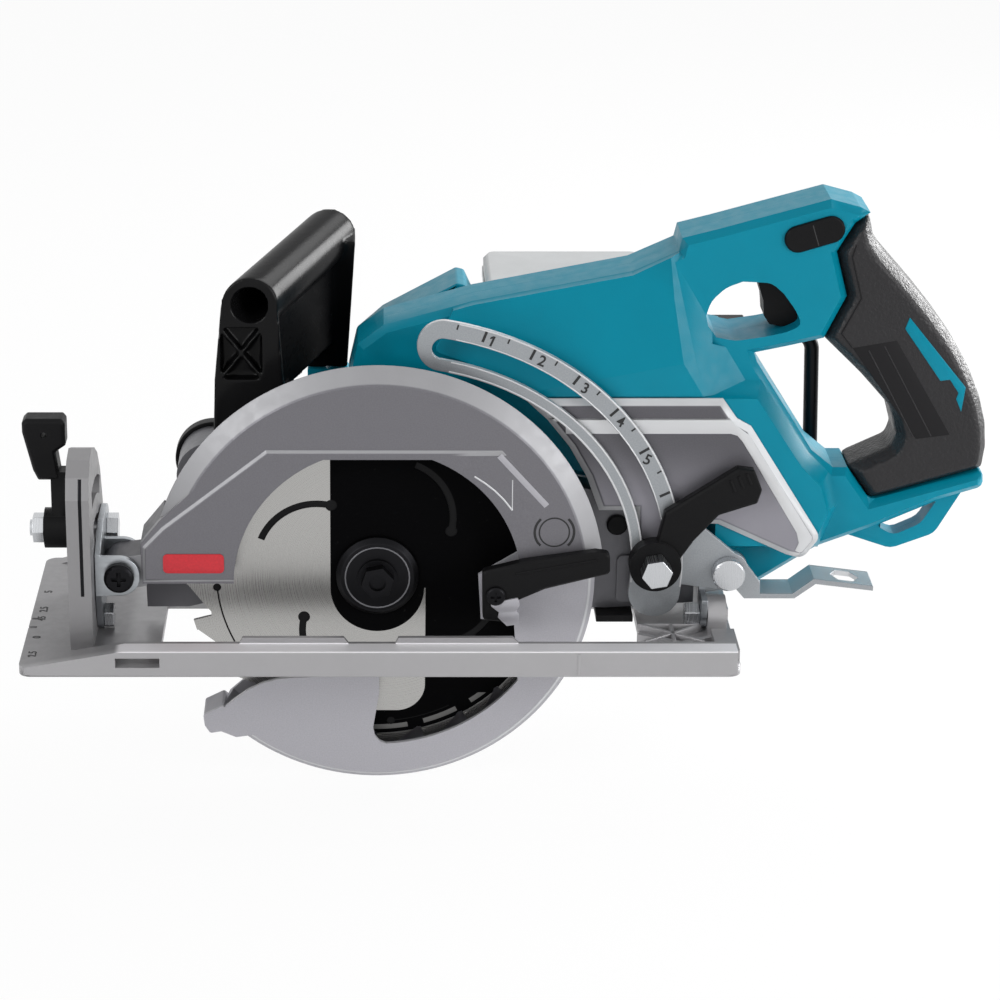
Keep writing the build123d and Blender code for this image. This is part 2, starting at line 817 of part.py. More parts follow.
with BuildPart() as blade_case:
    with BuildSketch(at_angle(case_right_angle)):
        Polygon(
            (case_face_r - 4, case_near_y), (case_face_r, case_near_y), (case_near_r, case_near_y + case_bevel),
            (case_far_r, case_far_y), (case_far_r - case_wall - 2, case_far_y),
            (case_far_r - case_wall, case_back_wall_y), (case_near_r - case_wall, case_near_y + case_bevel + 1),
            (case_face_r, case_near_y + case_wall), (case_face_r - 4, case_near_y + case_wall), align=None,
        )
    revolve(axis=Axis((0, 0, arbor_height), (0, -1, 0)), revolution_arc=case_left_angle - case_right_angle)
    with BuildSketch(side(case_near_y + case_wall)):
        with Locations(arbor):
            Circle(case_face_r)
        Polygon(
            (-88, 80), (-104, 65), (case_front_x - 1, case_front_top), (case_front_x, case_front_bottom),
            (-60, case_front_bottom), align=None,
        )
        Polygon(
            (-130, case_front_bottom), (-30, case_front_bottom), (40, case_lip_height - 3),
            (130, case_lip_height + 1.5), (130, -90), (-130, -90), align=None, mode=Mode.SUBTRACT,
        )
        with BuildLine():
            Line((-window_half, window_z), (window_half, window_z))
            ThreePointArc((window_half, window_z), (0, arbor_height - case_window_r), (-window_half, window_z))
        make_face(mode=Mode.SUBTRACT)
    extrude(amount=case_wall)
    add(case_field.part)
    with BuildSketch(side(case_far_y)):
        Polygon(
            (-103, 66), (case_front_x - 1, case_front_top), (case_front_x, case_front_bottom),
            (case_front_x + case_wall, case_front_bottom), (case_front_x - 1 + case_wall, case_front_top - 1),
            (-101, 64), align=None,
        )
    extrude(amount=case_far_y - case_near_y)
    with BuildSketch(side(case_far_y)):
        with Locations(arbor):
            Circle(case_far_r - 0.5)
        Polygon(
            (-100, 65), (case_front_x - 1, case_front_top), (case_front_x, case_front_wall_bottom),
            (case_front_wall_back_x, case_front_wall_bottom), (-60, 20), align=None,
        )
        Polygon(
            (-130, -90), (-130, case_front_wall_bottom), (case_front_wall_back_x, case_front_wall_bottom), (-80, 14),
            (80, 14), (106, 34), (130, 40), (130, -90), align=None, mode=Mode.SUBTRACT,
        )
        with Locations(arbor):
            Circle(boss_r + 4.5, mode=Mode.SUBTRACT)
        with Locations((nozzle_x, nozzle_z)):
            Circle(nozzle_port_r, mode=Mode.SUBTRACT)
    extrude(amount=case_wall)
    with BuildSketch(side(link_far_y + free_gap)):
        with Locations(arbor):
            Circle(case_near_r + 5)
            Circle(link_clear_r, mode=Mode.SUBTRACT)
        Polygon(
            (0, arbor_height), polar(2 * case_near_r, 22), polar(2 * case_near_r, 56), polar(2 * case_near_r, 90),
            align=None, mode=Mode.INTERSECT,
        )
    extrude(amount=link_thickness + 2 * free_gap, mode=Mode.SUBTRACT)
    with BuildSketch(side(pivot_boss_far_y)):
        with Locations(depth_pivot_point):
            Circle(pivot_boss_r)
        Polygon((-125, 44), (-111, 46), (-111, 30), (-122, 28), align=None)
    extrude(amount=pivot_boss_far_y - pivot_boss_near_y)
    with BuildSketch(side(case_far_y)):
        with Locations(depth_pivot_point):
            Circle(depth_pivot_r + seat_gap)
    extrude(amount=case_far_y - case_near_y, mode=Mode.SUBTRACT)
save(blade_case.part, "blade_case")

# Lower guard and its lever

lug_front_y = lever_back_y
guard_screw_point = (56.5, 30)
with BuildPart() as lower_guard:
    with BuildSketch(at_angle(guard_start_angle)):
        Polygon(
            (guard_lip_r, guard_near_y), (guard_near_r - guard_corner, guard_near_y),
            (guard_near_r, guard_near_y + guard_corner), (guard_far_r, guard_far_y),
            (boss_r + 3, guard_far_y), (boss_r + 3, guard_far_y - guard_wall),
            (guard_far_r - guard_wall, guard_far_y - guard_wall),
            (guard_near_r - guard_wall, guard_near_y + guard_corner + 1),
            (guard_near_r - guard_corner - 1, guard_near_y + guard_wall), (guard_lip_r, guard_near_y + guard_wall),
            align=None,
        )
    revolve(axis=Axis((0, 0, arbor_height), (0, -1, 0)), revolution_arc=guard_span)
    with BuildSketch(side(guard_near_y + guard_wall)):
        with Locations(arbor):
            Circle(guard_near_r - guard_corner - 0.3)
        Polygon(
            (-130, -40), (-84, -40), (-77, -36), (-70, -29.8), (-63, -24.5), (-56, -21), (-49, -19),
            (-41.8, -18.2), (-20, -17.2), (0.9, -16.8), (1, -25.7), (-0.4, -34.5), (-2, -44.8), (-1.2, -49),
            (1.2, -52), (4.6, -53.6), polar(87, -84), polar(87, -73),
            polar(87, -62), polar(87, -50), polar(87, -38), (66, 12), (50, 13), (48.5, 36), (130, 86),
            (130, 150), (-130, 150), align=None, mode=Mode.SUBTRACT,
        )
        with Locations(arbor):
            Circle(lever_pad_r, mode=Mode.SUBTRACT)
    extrude(amount=guard_wall)
    with BuildSketch(side(guard_far_y)) as nose_outline:
        Polygon(
            polar(100, 221), polar(110.5, 219.6), polar(113.7, 222), polar(114.6, 224.4), polar(110.2, 226),
            polar(107.6, 230), polar(100, 234), align=None,
        )
        fillet(nose_outline.vertices(), 1.5)
    extrude(amount=guard_far_y - guard_near_y)
    with BuildSketch(side(guard_near_y)):
        Polygon((52, 16), (60.5, 17), (62, 34), (51, 38), align=None)
    extrude(amount=guard_near_y - lug_front_y)
    with BuildSketch(side(guard_far_y)):
        with Locations(arbor):
            Circle(guard_hub_r)
    extrude(amount=guard_hub_width)
    with BuildSketch(side(guard_far_y)):
        with Locations(arbor):
            Circle(boss_r + 0.06)
    extrude(amount=guard_hub_width + 1, mode=Mode.SUBTRACT)
    with BuildSketch(side(guard_near_y + guard_wall)):
        with Locations(guard_screw_point):
            Circle(guard_screw_r + seat_gap)
    extrude(amount=20, mode=Mode.SUBTRACT)
save(lower_guard.part, "lower_guard")

with BuildPart() as guard_lever:
    with BuildSketch(side(lever_back_y)) as lever_outline:
        Polygon(
            (50, 42), (50.5, 17), (61, 16), (67, 27), (80, 33), (111, 41), (110.7, 51), (104, 52), (70, 47),
            align=None,
        )
        fillet(lever_outline.vertices(), 2.5)
        with Locations(guard_screw_point):
            Circle(guard_screw_r + seat_gap, mode=Mode.SUBTRACT)
    extrude(amount=lever_back_y - lever_face_y)
    chamfer(guard_lever.faces().sort_by(Axis.Y)[0].outer_wire().edges(), 1.2)
save(guard_lever.part, "guard_lever")

with BuildPart() as guard_lever_screw:
    with BuildSketch(side(lever_face_y)):
        with Locations(guard_screw_point):
            Circle(guard_screw_head_r)
    extrude(amount=2.2)
    chamfer(guard_lever_screw.faces().sort_by(Axis.Y)[0].edges(), 0.8)
    with BuildSketch(side(lever_face_y - 1)):
        with Locations(guard_screw_point):
            Rectangle(5, 1.2)
            Rectangle(1.2, 5)
    extrude(amount=2, mode=Mode.SUBTRACT)
    with BuildSketch(side(guard_near_y + guard_wall)):
        with Locations(guard_screw_point):
            Circle(guard_screw_r)
    extrude(amount=guard_near_y + guard_wall - lever_face_y)
save(guard_lever_screw.part, "guard_lever_screw")

# Depth adjustment: link, pin, clamp bolt and lever

tail_z = 18.7
with BuildPart() as depth_link:
    with BuildSketch(side(link_far_y)) as link_outline:
        with BuildLine():
            Spline(*strip_points)
        trace(line_width=link_width)
        with Locations(strip_points[0], strip_points[-1]):
            Circle(link_width / 2)
        Polygon((clamp_x + 4, 27.6), (clamp_x + 9, 52), (158, 55), (178, 38), (186, 27), (186, tail_z),
                (178.5, tail_z), (174, 24), (165, 23.5), align=None)
        with Locations(link_pin_point):
            Circle(10)
        with BuildLine():
            Spline(*slot_points)
        trace(line_width=link_slot_width, mode=Mode.SUBTRACT)
        with Locations(slot_points[0], slot_points[-1]):
            Circle(link_slot_width / 2, mode=Mode.SUBTRACT)
        with Locations(link_pin_point):
            Circle(pin_r + running_gap, mode=Mode.SUBTRACT)
    extrude(amount=link_thickness)
    with BuildSketch(side(link_near_y + link_tail_width)):
        Polygon(
            (178.5, tail_z), (203, tail_z), (213, tail_z + 7.5), (241, tail_z + 4), (241, tail_z + 4 + link_tail_thickness),
            (212, tail_z + 7.7 + link_tail_thickness), (202, tail_z + link_tail_thickness),
            (178.5, tail_z + link_tail_thickness), align=None,
        )
    extrude(amount=link_tail_width)
    tail_mid_y = link_near_y + link_tail_width / 2
    with BuildSketch(plan(tail_z - 5)):
        with Locations((228, tail_mid_y)):
            RegularPolygon(7, 6)
    extrude(amount=30, mode=Mode.SUBTRACT)
save(depth_link.part, "depth_link")

with BuildPart() as link_pin:
    with BuildSketch(side(link_near_y - free_gap)):
        with Locations(link_pin_point):
            Circle(pin_head_r)
    extrude(amount=pin_head_height)
    chamfer(link_pin.faces().sort_by(Axis.Y)[0].edges(), 1)
    with BuildSketch(side(link_far_y + free_gap + sheet)):
        with Locations(link_pin_point):
            Circle(pin_r)
    extrude(amount=link_thickness + 2 * free_gap + sheet)
save(link_pin.part, "link_pin")

with BuildPart() as depth_clamp_bolt:
    with BuildSketch(side(clamp_head_y)):
        with Locations(clamp_point):
            RegularPolygon(clamp_head_across / 2, 6, major_radius=False, rotation=10)
    extrude(amount=clamp_head_height)
    with BuildSketch(side(lobe_far_y - 7)):
        with Locations(clamp_point):
            Circle(clamp_bolt_r)
    extrude(amount=lobe_far_y - 7 - clamp_head_y)
save(depth_clamp_bolt.part, "depth_clamp_bolt")

with BuildPart() as depth_lever:
    with BuildSketch(side(depth_hub_far_y)) as depth_arm:
        Polygon((clamp_x, clamp_z + 8), (clamp_x + 4, clamp_z + 27), (172, 88), (180, 87), (184, 77), (182, 70),
                (164, 64), (clamp_x + 18, clamp_z + 12), (clamp_x + 10, clamp_z), align=None)
        fillet(depth_arm.vertices().group_by(Axis.X)[-1], 2)
    extrude(amount=6)
    chamfer(depth_lever.faces().sort_by(Axis.Y)[0].edges(), 1)
    with BuildSketch(side(depth_hub_far_y)):
        with Locations(clamp_point):
            Circle(depth_hub_r)
    extrude(amount=depth_hub_width)
    with BuildSketch(side(depth_hub_far_y)):
        with Locations(clamp_point):
            Circle(clamp_bolt_r + running_gap)
    extrude(amount=depth_hub_width, mode=Mode.SUBTRACT)
save(depth_lever.part, "depth_lever")

with BuildPart() as depth_pivot_screws:
    with BuildSketch(side(front_ear_near_y - free_gap)):
        with Locations(depth_pivot_point):
            Circle(depth_pivot_head_r)
    extrude(amount=depth_pivot_head_height)
    chamfer(depth_pivot_screws.faces().sort_by(Axis.Y)[0].edges(), 1.5)
    with BuildSketch(side(front_ear_near_y - depth_pivot_head_height + 1.7)):
        with Locations(depth_pivot_point):
            Rectangle(7, 1.6)
            Rectangle(1.6, 7)
    extrude(amount=3, mode=Mode.SUBTRACT)
    with BuildSketch(side(0)):
        with Locations(depth_pivot_point):
            Circle(depth_pivot_r)
    extrude(amount=-front_ear_near_y + free_gap)
    far_head_y = front_ear_far_y + sheet + free_gap
    with BuildSketch(side(far_head_y + depth_pivot_head_height)):
        with Locations(depth_pivot_point):
            Circle(depth_pivot_head_r)
    extrude(amount=depth_pivot_head_height)
    with BuildSketch(side(far_head_y)):
        with Locations(depth_pivot_point):
            Circle(depth_pivot_r)
    extrude(amount=far_head_y - 2)
save(depth_pivot_screws.part, "depth_pivot_screws")

# Swing frame: the front and rear brackets that the base tilts on

with BuildPart() as front_bracket:
    with BuildSketch(front(web_front_x)):
        Polygon(
            (front_ear_near_y, 26), (front_ear_near_y, 47), (10, 57), (bevel_clamp_y, 57), (42, bevel_clamp_z),
            (42, 32), (27, 26), (9, 11), (-8, 11), align=None,
        )
        with Locations((bevel_clamp_y, bevel_clamp_z)):
            Circle(12)
        with Locations((0, bevel_axis_z)):
            Circle(6.2)
            Circle(bevel_bolt_r + running_gap, mode=Mode.SUBTRACT)
        with Locations((bevel_clamp_y, bevel_clamp_z)):
            Circle(bevel_stud_r + seat_gap, mode=Mode.SUBTRACT)
    extrude(amount=sheet)
    with BuildSketch(side(front_ear_near_y + sheet), side(front_ear_far_y + sheet)):
        Polygon((web_front_x, 26), (depth_pivot_x, 26), (depth_pivot_x, 46), (web_front_x, 46), align=None)
        with Locations(depth_pivot_point):
            Circle(10)
            Circle(depth_pivot_r + running_gap, mode=Mode.SUBTRACT)
    extrude(amount=sheet)
save(front_bracket.part, "front_bracket")

with BuildPart() as rear_bracket:
    with BuildSketch(front(leg_front_x)):
        Polygon((-9, 22), (-9, 13), (-6, 11), (6, 11), (9, 13), (9, 22), align=None)
        with Locations((0, bevel_axis_z)):
            Circle(6.2)
            Circle(bevel_bolt_r + running_gap, mode=Mode.SUBTRACT)
    extrude(amount=sheet)
    with BuildSketch(side(link_far_y + free_gap + sheet)):
        Polygon(
            (leg_front_x, 13), (leg_rear_x, 13), (leg_rear_x, 20.6), (174, 23.2), (178, 36), (leg_front_x, 40),
            align=None,
        )
        with Locations(link_pin_point):
            Circle(10)
            Circle(pin_r + seat_gap, mode=Mode.SUBTRACT)
    extrude(amount=sheet)
save(rear_bracket.part, "rear_bracket")

nut_front_x = bevel_hub_x - bevel_hub_length - free_gap - bevel_nut_length
with BuildPart() as bevel_clamp_bolt:
    with BuildSketch(front(web_rear_x)):
        with Locations((bevel_clamp_y, bevel_clamp_z)):
            RegularPolygon(6.5, 6, major_radius=False)
    extrude(amount=5.5)
    with BuildSketch(front(nut_front_x - 1.5)):
        with Locations((bevel_clamp_y, bevel_clamp_z)):
            Circle(bevel_stud_r)
    extrude(amount=web_rear_x - nut_front_x + 1.5)
save(bevel_clamp_bolt.part, "bevel_clamp_bolt")

with BuildPart() as bevel_nut:
    with BuildSketch(front(nut_front_x)):
        with Locations((bevel_clamp_y, bevel_clamp_z)):
            RegularPolygon(bevel_nut_across / 2, 6, major_radius=False)
            Circle(bevel_stud_r + seat_gap, mode=Mode.SUBTRACT)
    extrude(amount=bevel_nut_length)
save(bevel_nut.part, "bevel_nut")

grip_back_x = bevel_grip_front_x + bevel_grip_length
with BuildPart() as bevel_lever:
    with BuildSketch(side(bevel_clamp_y + bevel_grip_width / 2)):
        Polygon(
            (bevel_grip_front_x, bevel_grip_top - 7), (bevel_grip_front_x, bevel_grip_top - 2),
            (bevel_grip_front_x + 2, bevel_grip_top), (grip_back_x - 1.6, bevel_grip_top),
            (grip_back_x, bevel_grip_top - 2), (grip_back_x, bevel_grip_top - 13.5),
            (grip_back_x - 5, bevel_grip_top - 17), (grip_back_x - 3, bevel_grip_bottom),
            (bevel_grip_front_x + 7, bevel_grip_bottom), (bevel_grip_front_x + 4.6, bevel_grip_bottom + 5),
            align=None,
        )
    extrude(amount=bevel_grip_width)
    chamfer(bevel_lever.faces().sort_by(Axis.Y)[0].edges(), 1.5)
    with BuildSketch(front(bevel_hub_x - bevel_hub_length)):
        with Locations((bevel_clamp_y, bevel_clamp_z)):
            Circle(bevel_hub_r)
    extrude(amount=bevel_hub_length)
    with BuildSketch(front(bevel_hub_x - 12)):
        Polygon((24, 45), (36, 45), (35, bevel_grip_bottom + 4), (25, bevel_grip_bottom + 4), align=None)
    extrude(amount=10)
    with BuildSketch(side(bevel_clamp_y + bevel_grip_width / 2)):
        with Locations((bevel_grip_front_x + bevel_grip_length / 2, bevel_grip_top - 8)):
            Circle(1.5)
    extrude(amount=bevel_grip_width, mode=Mode.SUBTRACT)
    with BuildSketch(front(nut_front_x)):
        with Locations((bevel_clamp_y, bevel_clamp_z)):
            Circle(bevel_stud_r + running_gap)
    extrude(amount=40, mode=Mode.SUBTRACT)
save(bevel_lever.part, "bevel_lever")

# Base

slot_mid_x = (slot_front_x + slot_rear_x) / 2
slot_mid_y = (rail_inner_y + slot_far_y) / 2
clamp_arc_start = bevel_clamp_angle - clamp_arc_spare
with BuildPart() as base:
    with BuildSketch(plan(0)):
        with Locations(((base_front_x + base_rear_x) / 2, (base_near_y + base_far_y) / 2)):
            RectangleRounded(base_rear_x - base_front_x, base_far_y - base_near_y, 6)
        with Locations((slot_mid_x, slot_mid_y)):
            Rectangle(slot_rear_x - slot_front_x, slot_far_y - rail_inner_y, mode=Mode.SUBTRACT)
        with Locations((base_front_x, 0), (base_front_x, 10.6)):
            Rectangle(8, 2.4, mode=Mode.SUBTRACT)
    extrude(amount=sole_thickness)
    with BuildSketch(side(rail_inner_y)):
        Polygon(
            (base_front_x + 3, 1), (base_rear_x - 2, 1), (base_rear_x - 2, rail_height), (rail_taper_x, rail_height),
            (base_front_x + 3, sole_thickness), align=None,
        )
    extrude(amount=rail_width)
    with BuildSketch(side(rail_inner_y)):
        Polygon((-68, 8), (-64, rail_wall_height), (-16, rail_wall_height), (-10, 8), align=None)
        Polygon((6, 8), (10, rail_wall_height), (64, rail_wall_height), (72, 8), align=None)
    extrude(amount=rib_width)
    with BuildSketch(side(base_far_y)):
        Polygon(
            (base_front_x + 8, 1), (base_rear_x - 2, 1), (base_rear_x - 2, rail_height - 3), (-140, rail_height - 3),
            (base_front_x + 8, sole_thickness), align=None,
        )
    extrude(amount=far_rim_width)
    with BuildSketch(plan(0)):
        with Locations((base_rear_x - rear_rim_width / 2, 50)):
            Rectangle(rear_rim_width, 80)
        with Locations((base_rear_x - rear_rim_width / 2, -28)):
            Rectangle(rear_rim_width, 26)
    extrude(amount=rail_height - 3)
    with BuildSketch(plan(0)):
        with Locations((-60, 66), (0, 66), (60, 66), (120, 66)):
            Rectangle(rib_width, 44)
        with Locations((146, -27)):
            Rectangle(46, rib_width, rotation=28)
            Rectangle(46, rib_width, rotation=-28)
    extrude(amount=deck_height)
    with BuildSketch(front(ear_front_x)):
        with Locations((0, bevel_axis_z)):
            Circle(ear_r)
        with Locations((0, bevel_axis_z / 2)):
            Rectangle(2 * ear_r, bevel_axis_z)
    extrude(amount=9)
    with BuildSketch(front(quadrant_front_x)):
        Polygon(
            (quadrant_near_y, 1), (quadrant_near_y, quadrant_top - 18), (quadrant_near_y + 4, quadrant_top - 8),
            (quadrant_near_y + 12, quadrant_top - 2), (-4, quadrant_top), (10, quadrant_top - 4.5),
            (24, quadrant_top - 12), (36, quadrant_top - 24.5), (46, 52), (quadrant_far_y, 1), align=None,
        )
    extrude(amount=quadrant_thickness)
    with BuildSketch(front(quadrant_front_x)):
        with BuildLine():
            CenterArc((0, bevel_axis_z), bevel_radius, clamp_arc_start, bevel_range + 2 * clamp_arc_spare)
        trace(line_width=2 * (bevel_stud_r + bevel_slot_gap))
        with BuildLine():
            CenterArc((0, bevel_axis_z), quadrant_window_r, quadrant_window_start, quadrant_window_span)
        trace(line_width=quadrant_window_width)
    extrude(amount=quadrant_thickness, mode=Mode.SUBTRACT)
    with BuildSketch(front(quadrant_front_x), front(ear_front_x)):
        with Locations((0, bevel_axis_z)):
            Circle(bevel_bolt_r + seat_gap)
    extrude(amount=quadrant_thickness, mode=Mode.SUBTRACT)
    with BuildSketch(side(base_far_y)):
        with Locations((fence_slot_x, fence_slot_z)):
            Rectangle(fence_slot_length, fence_slot_height)
    extrude(amount=base_far_y - base_near_y, mode=Mode.SUBTRACT)
save(base.part, "base")

with BuildPart() as bevel_pivot_bolts:
    with BuildSketch(front(web_rear_x + free_gap)):
        with Locations((0, bevel_axis_z)):
            RegularPolygon(bevel_bolt_head_across / 2, 6, major_radius=False, rotation=30)
    extrude(amount=4.4)
    with BuildSketch(front(quadrant_front_x + 2)):
        with Locations((0, bevel_axis_z)):
            Circle(bevel_bolt_r)
    extrude(amount=web_rear_x + free_gap - quadrant_front_x - 2)
    with BuildSketch(front(leg_front_x - free_gap - bevel_bolt_head_height)):
        with Locations((0, bevel_axis_z)):
            RegularPolygon(bevel_bolt_head_across / 2, 6, major_radius=False, rotation=30)
    extrude(amount=bevel_bolt_head_height)
    with BuildSketch(front(leg_front_x - free_gap)):
        with Locations((0, bevel_axis_z)):
            Circle(bevel_bolt_r)
    extrude(amount=ear_front_x + 8.5 - leg_front_x + free_gap)
save(bevel_pivot_bolts.part, "bevel_pivot_bolts")

# Body: frame panel, two housing halves and the rear grip

panel_clear_r = 111.2
with BuildPart() as frame_panel:
    with BuildSketch(side(panel_far_y)) as panel_outline:
        Polygon(
            (124, 30), (124, 62), polar(panel_clear_r, 15.4), polar(panel_clear_r, 25), polar(panel_clear_r, 34),
            polar(panel_clear_r, 43), polar(panel_clear_r, 51), (165, 119), (172, 109), (179, 105), (215, 48),
            (207, 37), (199, 39), (165, 55), (153, 55), (153, 30), align=None,
        )
        fillet(panel_outline.vertices().sort_by(Axis.X)[-2:], 5)
    extrude(amount=panel_thickness - panel_bevel)
    extrude(frame_panel.faces().sort_by(Axis.Y)[0], amount=panel_bevel, taper=panel_taper)
    with BuildSketch(side(panel_far_y)):
        with Locations(clamp_point):
            Circle(clamp_bolt_r + seat_gap)
    extrude(amount=panel_thickness, mode=Mode.SUBTRACT)
    with BuildSketch(side(panel_near_y + 1)):
        with Locations((120, 109)):
            Rectangle(104, 1.6)
    extrude(amount=2, mode=Mode.SUBTRACT)
save(frame_panel.part, "frame_panel")

body_outline = [
    (-14, 105), (-14, 119.5), (-9.5, 141), (3, 150.5), (46, 162.5), (121, 177), (143, 187), (144.5, 193.5),
    (160, 197.5), (214, 212.5), (228, 208.7), (233, 206), (226, 201), (218, 187), (224, 165), (214, 144), (197, 140),
    (181, 136.6), (182.5, 132), (211, 87), (222, 78), (229, 78), (241, 61), (295, 77), (295.6, 68), (273, 61),
    (241, 46.5), (216, 37), (188, 18.5), (160, 18.5), (158.5, 62), (108, 72.5), (56, 83), (40, 92.5),
]
lower_outline = [
    (158.5, 37), (158.5, 62), polar(panel_clear_r, 22), polar(panel_clear_r, 33), polar(panel_clear_r, 44),
    polar(panel_clear_r, 55), (184.5, 124), (209, 87), (219, 77), (224, 60), (216, 38),
]
upper_outline = [
    polar(panel_clear_r, 51.5), polar(panel_clear_r, 60), polar(panel_clear_r, 68), polar(panel_clear_r, 76),
    (36, 159.5), (46, 162.3), (121, 176.8), (143, 186.8), (160, 193), (160, 143), (176, 137.2), (185, 125),
    (185, 119.5),
]
face_left = (46, 20, 162.5)
face_right = (121, 20, 177)
face_bottom = (84, body_near_y, 124)
face_corner = (141, 16.4, 164.5)
face_low_corner = (153, body_near_y, 124)
neck_point = (163, handle_near_y, 188)
neck_low_point = (161, handle_near_y, 150)
far_outline = [
    (0, 108), (0, 143), (46, 155), (125, 170), (150, 160), (180, 132), (207, 86), (214, 60), (208, 44), (163, 42),
    (163, 66), (110, 77), (60, 87), (44, 97),
]
trigger_gap = [
    (156.8, 156.3), (159, 163.5), (165.7, 170.1), (173.6, 173.1), (187.4, 172.5), (193.4, 167.1), (199.6, 158.7),
    (202.8, 151.5), (195.5, 147.9), (185.2, 145.7), (171.4, 143.6), (162.1, 145.4), (157.8, 151.5),
]
loop_outline = [(226, 42), (254, 32.5), (275, 40.5), (293, 73), (285, 70), (262, 60), (238, 50)]
loop_hole = [(246, 44.5), (255, 39.5), (268, 45.5), (275, 57.5)]
loop_half = 6.0
grip_spine = [(222, 206), (229, 190), (240, 168), (258, 140), (273, 107), (274, 90), (266, 60)]
grip_core_width = 12.0
grip_core_half = 10.0
grip_flat_half = 11.0
grip_edge = 7.5
grip_taper = 30.0
screw_points = [(5, 115), (95, 112), (168, 108), (185, 60), (262, 61.4)]
top_screw_points = [(152, 186.5), (208, 181.6)]
edge_depth = 4.0
edge_taper = 38.0
near_taper = 25.0
channel_bottom = 146.5
channel_top = 175.2
channel_play = 1.0
channel_rear_x = trigger_rear_x + trigger_travel + 1.0
switch_x = 175.0
switch_z = 185.5
switch_length = 30.0
switch_height = 15.0
switch_half = 11.0
chamber_half = 14.0

with BuildPart() as housing_left:
    with BuildSketch(side(handle_near_y + edge_depth)):
        Polygon(*upper_outline, align=None)
    extrude(amount=handle_near_y + edge_depth - body_near_y)
    with BuildSketch(through(face_left, face_bottom, face_right)):
        Rectangle(600, 600)
    extrude(amount=60, mode=Mode.SUBTRACT)
    with BuildSketch(through(face_right, face_corner, neck_point)):
        Rectangle(600, 600)
    extrude(amount=60, mode=Mode.SUBTRACT)
    with BuildSketch(through(face_corner, face_low_corner, neck_low_point)):
        Rectangle(600, 600)
    extrude(amount=60, mode=Mode.SUBTRACT)
    with BuildSketch(side(split_y)):
        Polygon(*body_outline, align=None)
    extrude(amount=split_y - handle_near_y - edge_depth)
    with BuildSketch(side(handle_near_y + edge_depth)):
        Polygon(*body_outline, align=None)
    extrude(amount=edge_depth, taper=edge_taper)
    with BuildSketch(side(handle_near_y)):
        Polygon(*lower_outline, align=None)
    extrude(amount=handle_near_y - body_near_y, taper=near_taper)
    with BuildSketch(side(handle_near_y + edge_depth)):
        Polygon(*lower_outline, align=None)
    extrude(amount=edge_depth)
    with BuildSketch(side(split_y)):
        Polygon(*loop_outline, align=None)
    extrude(amount=loop_half)
    with BuildSketch(side(split_y)):
        with BuildLine():
            Polyline(*grip_spine)
        trace(line_width=grip_core_width)
    extrude(amount=grip_core_half)
    with BuildSketch(side(split_y)):
        Polygon(*loop_hole, align=None)
        Polygon(*trigger_gap, align=None)
        with Locations((lock_x, lock_z)):
            SlotOverall(lock_length + 2 * running_gap, lock_height + 2 * running_gap, rotation=lock_tilt)
    extrude(amount=split_y, mode=Mode.SUBTRACT)
    with BuildSketch(side(split_y)):
        with Locations((87, 138)):
            Rectangle(126, 28)
    extrude(amount=chamber_half, mode=Mode.SUBTRACT)
    with BuildSketch(side(split_y)):
        with Locations((switch_x, switch_z)):
            Rectangle(switch_length + 2 * seat_gap, switch_height + 2 * seat_gap)
    extrude(amount=switch_half + seat_gap, mode=Mode.SUBTRACT)
    with BuildSketch(side(split_y)):
        with Locations(((trigger_front_x + channel_rear_x) / 2, (channel_bottom + channel_top) / 2)):
            Rectangle(channel_rear_x - trigger_front_x, channel_top - channel_bottom)
    extrude(amount=trigger_width / 2 + 0.6, mode=Mode.SUBTRACT)
    with BuildSketch(side(split_y)):
        with Locations(*screw_points, *top_screw_points):
            Circle(housing_screw_r + seat_gap)
    extrude(amount=13, mode=Mode.SUBTRACT)
save(housing_left.part, "housing_left")

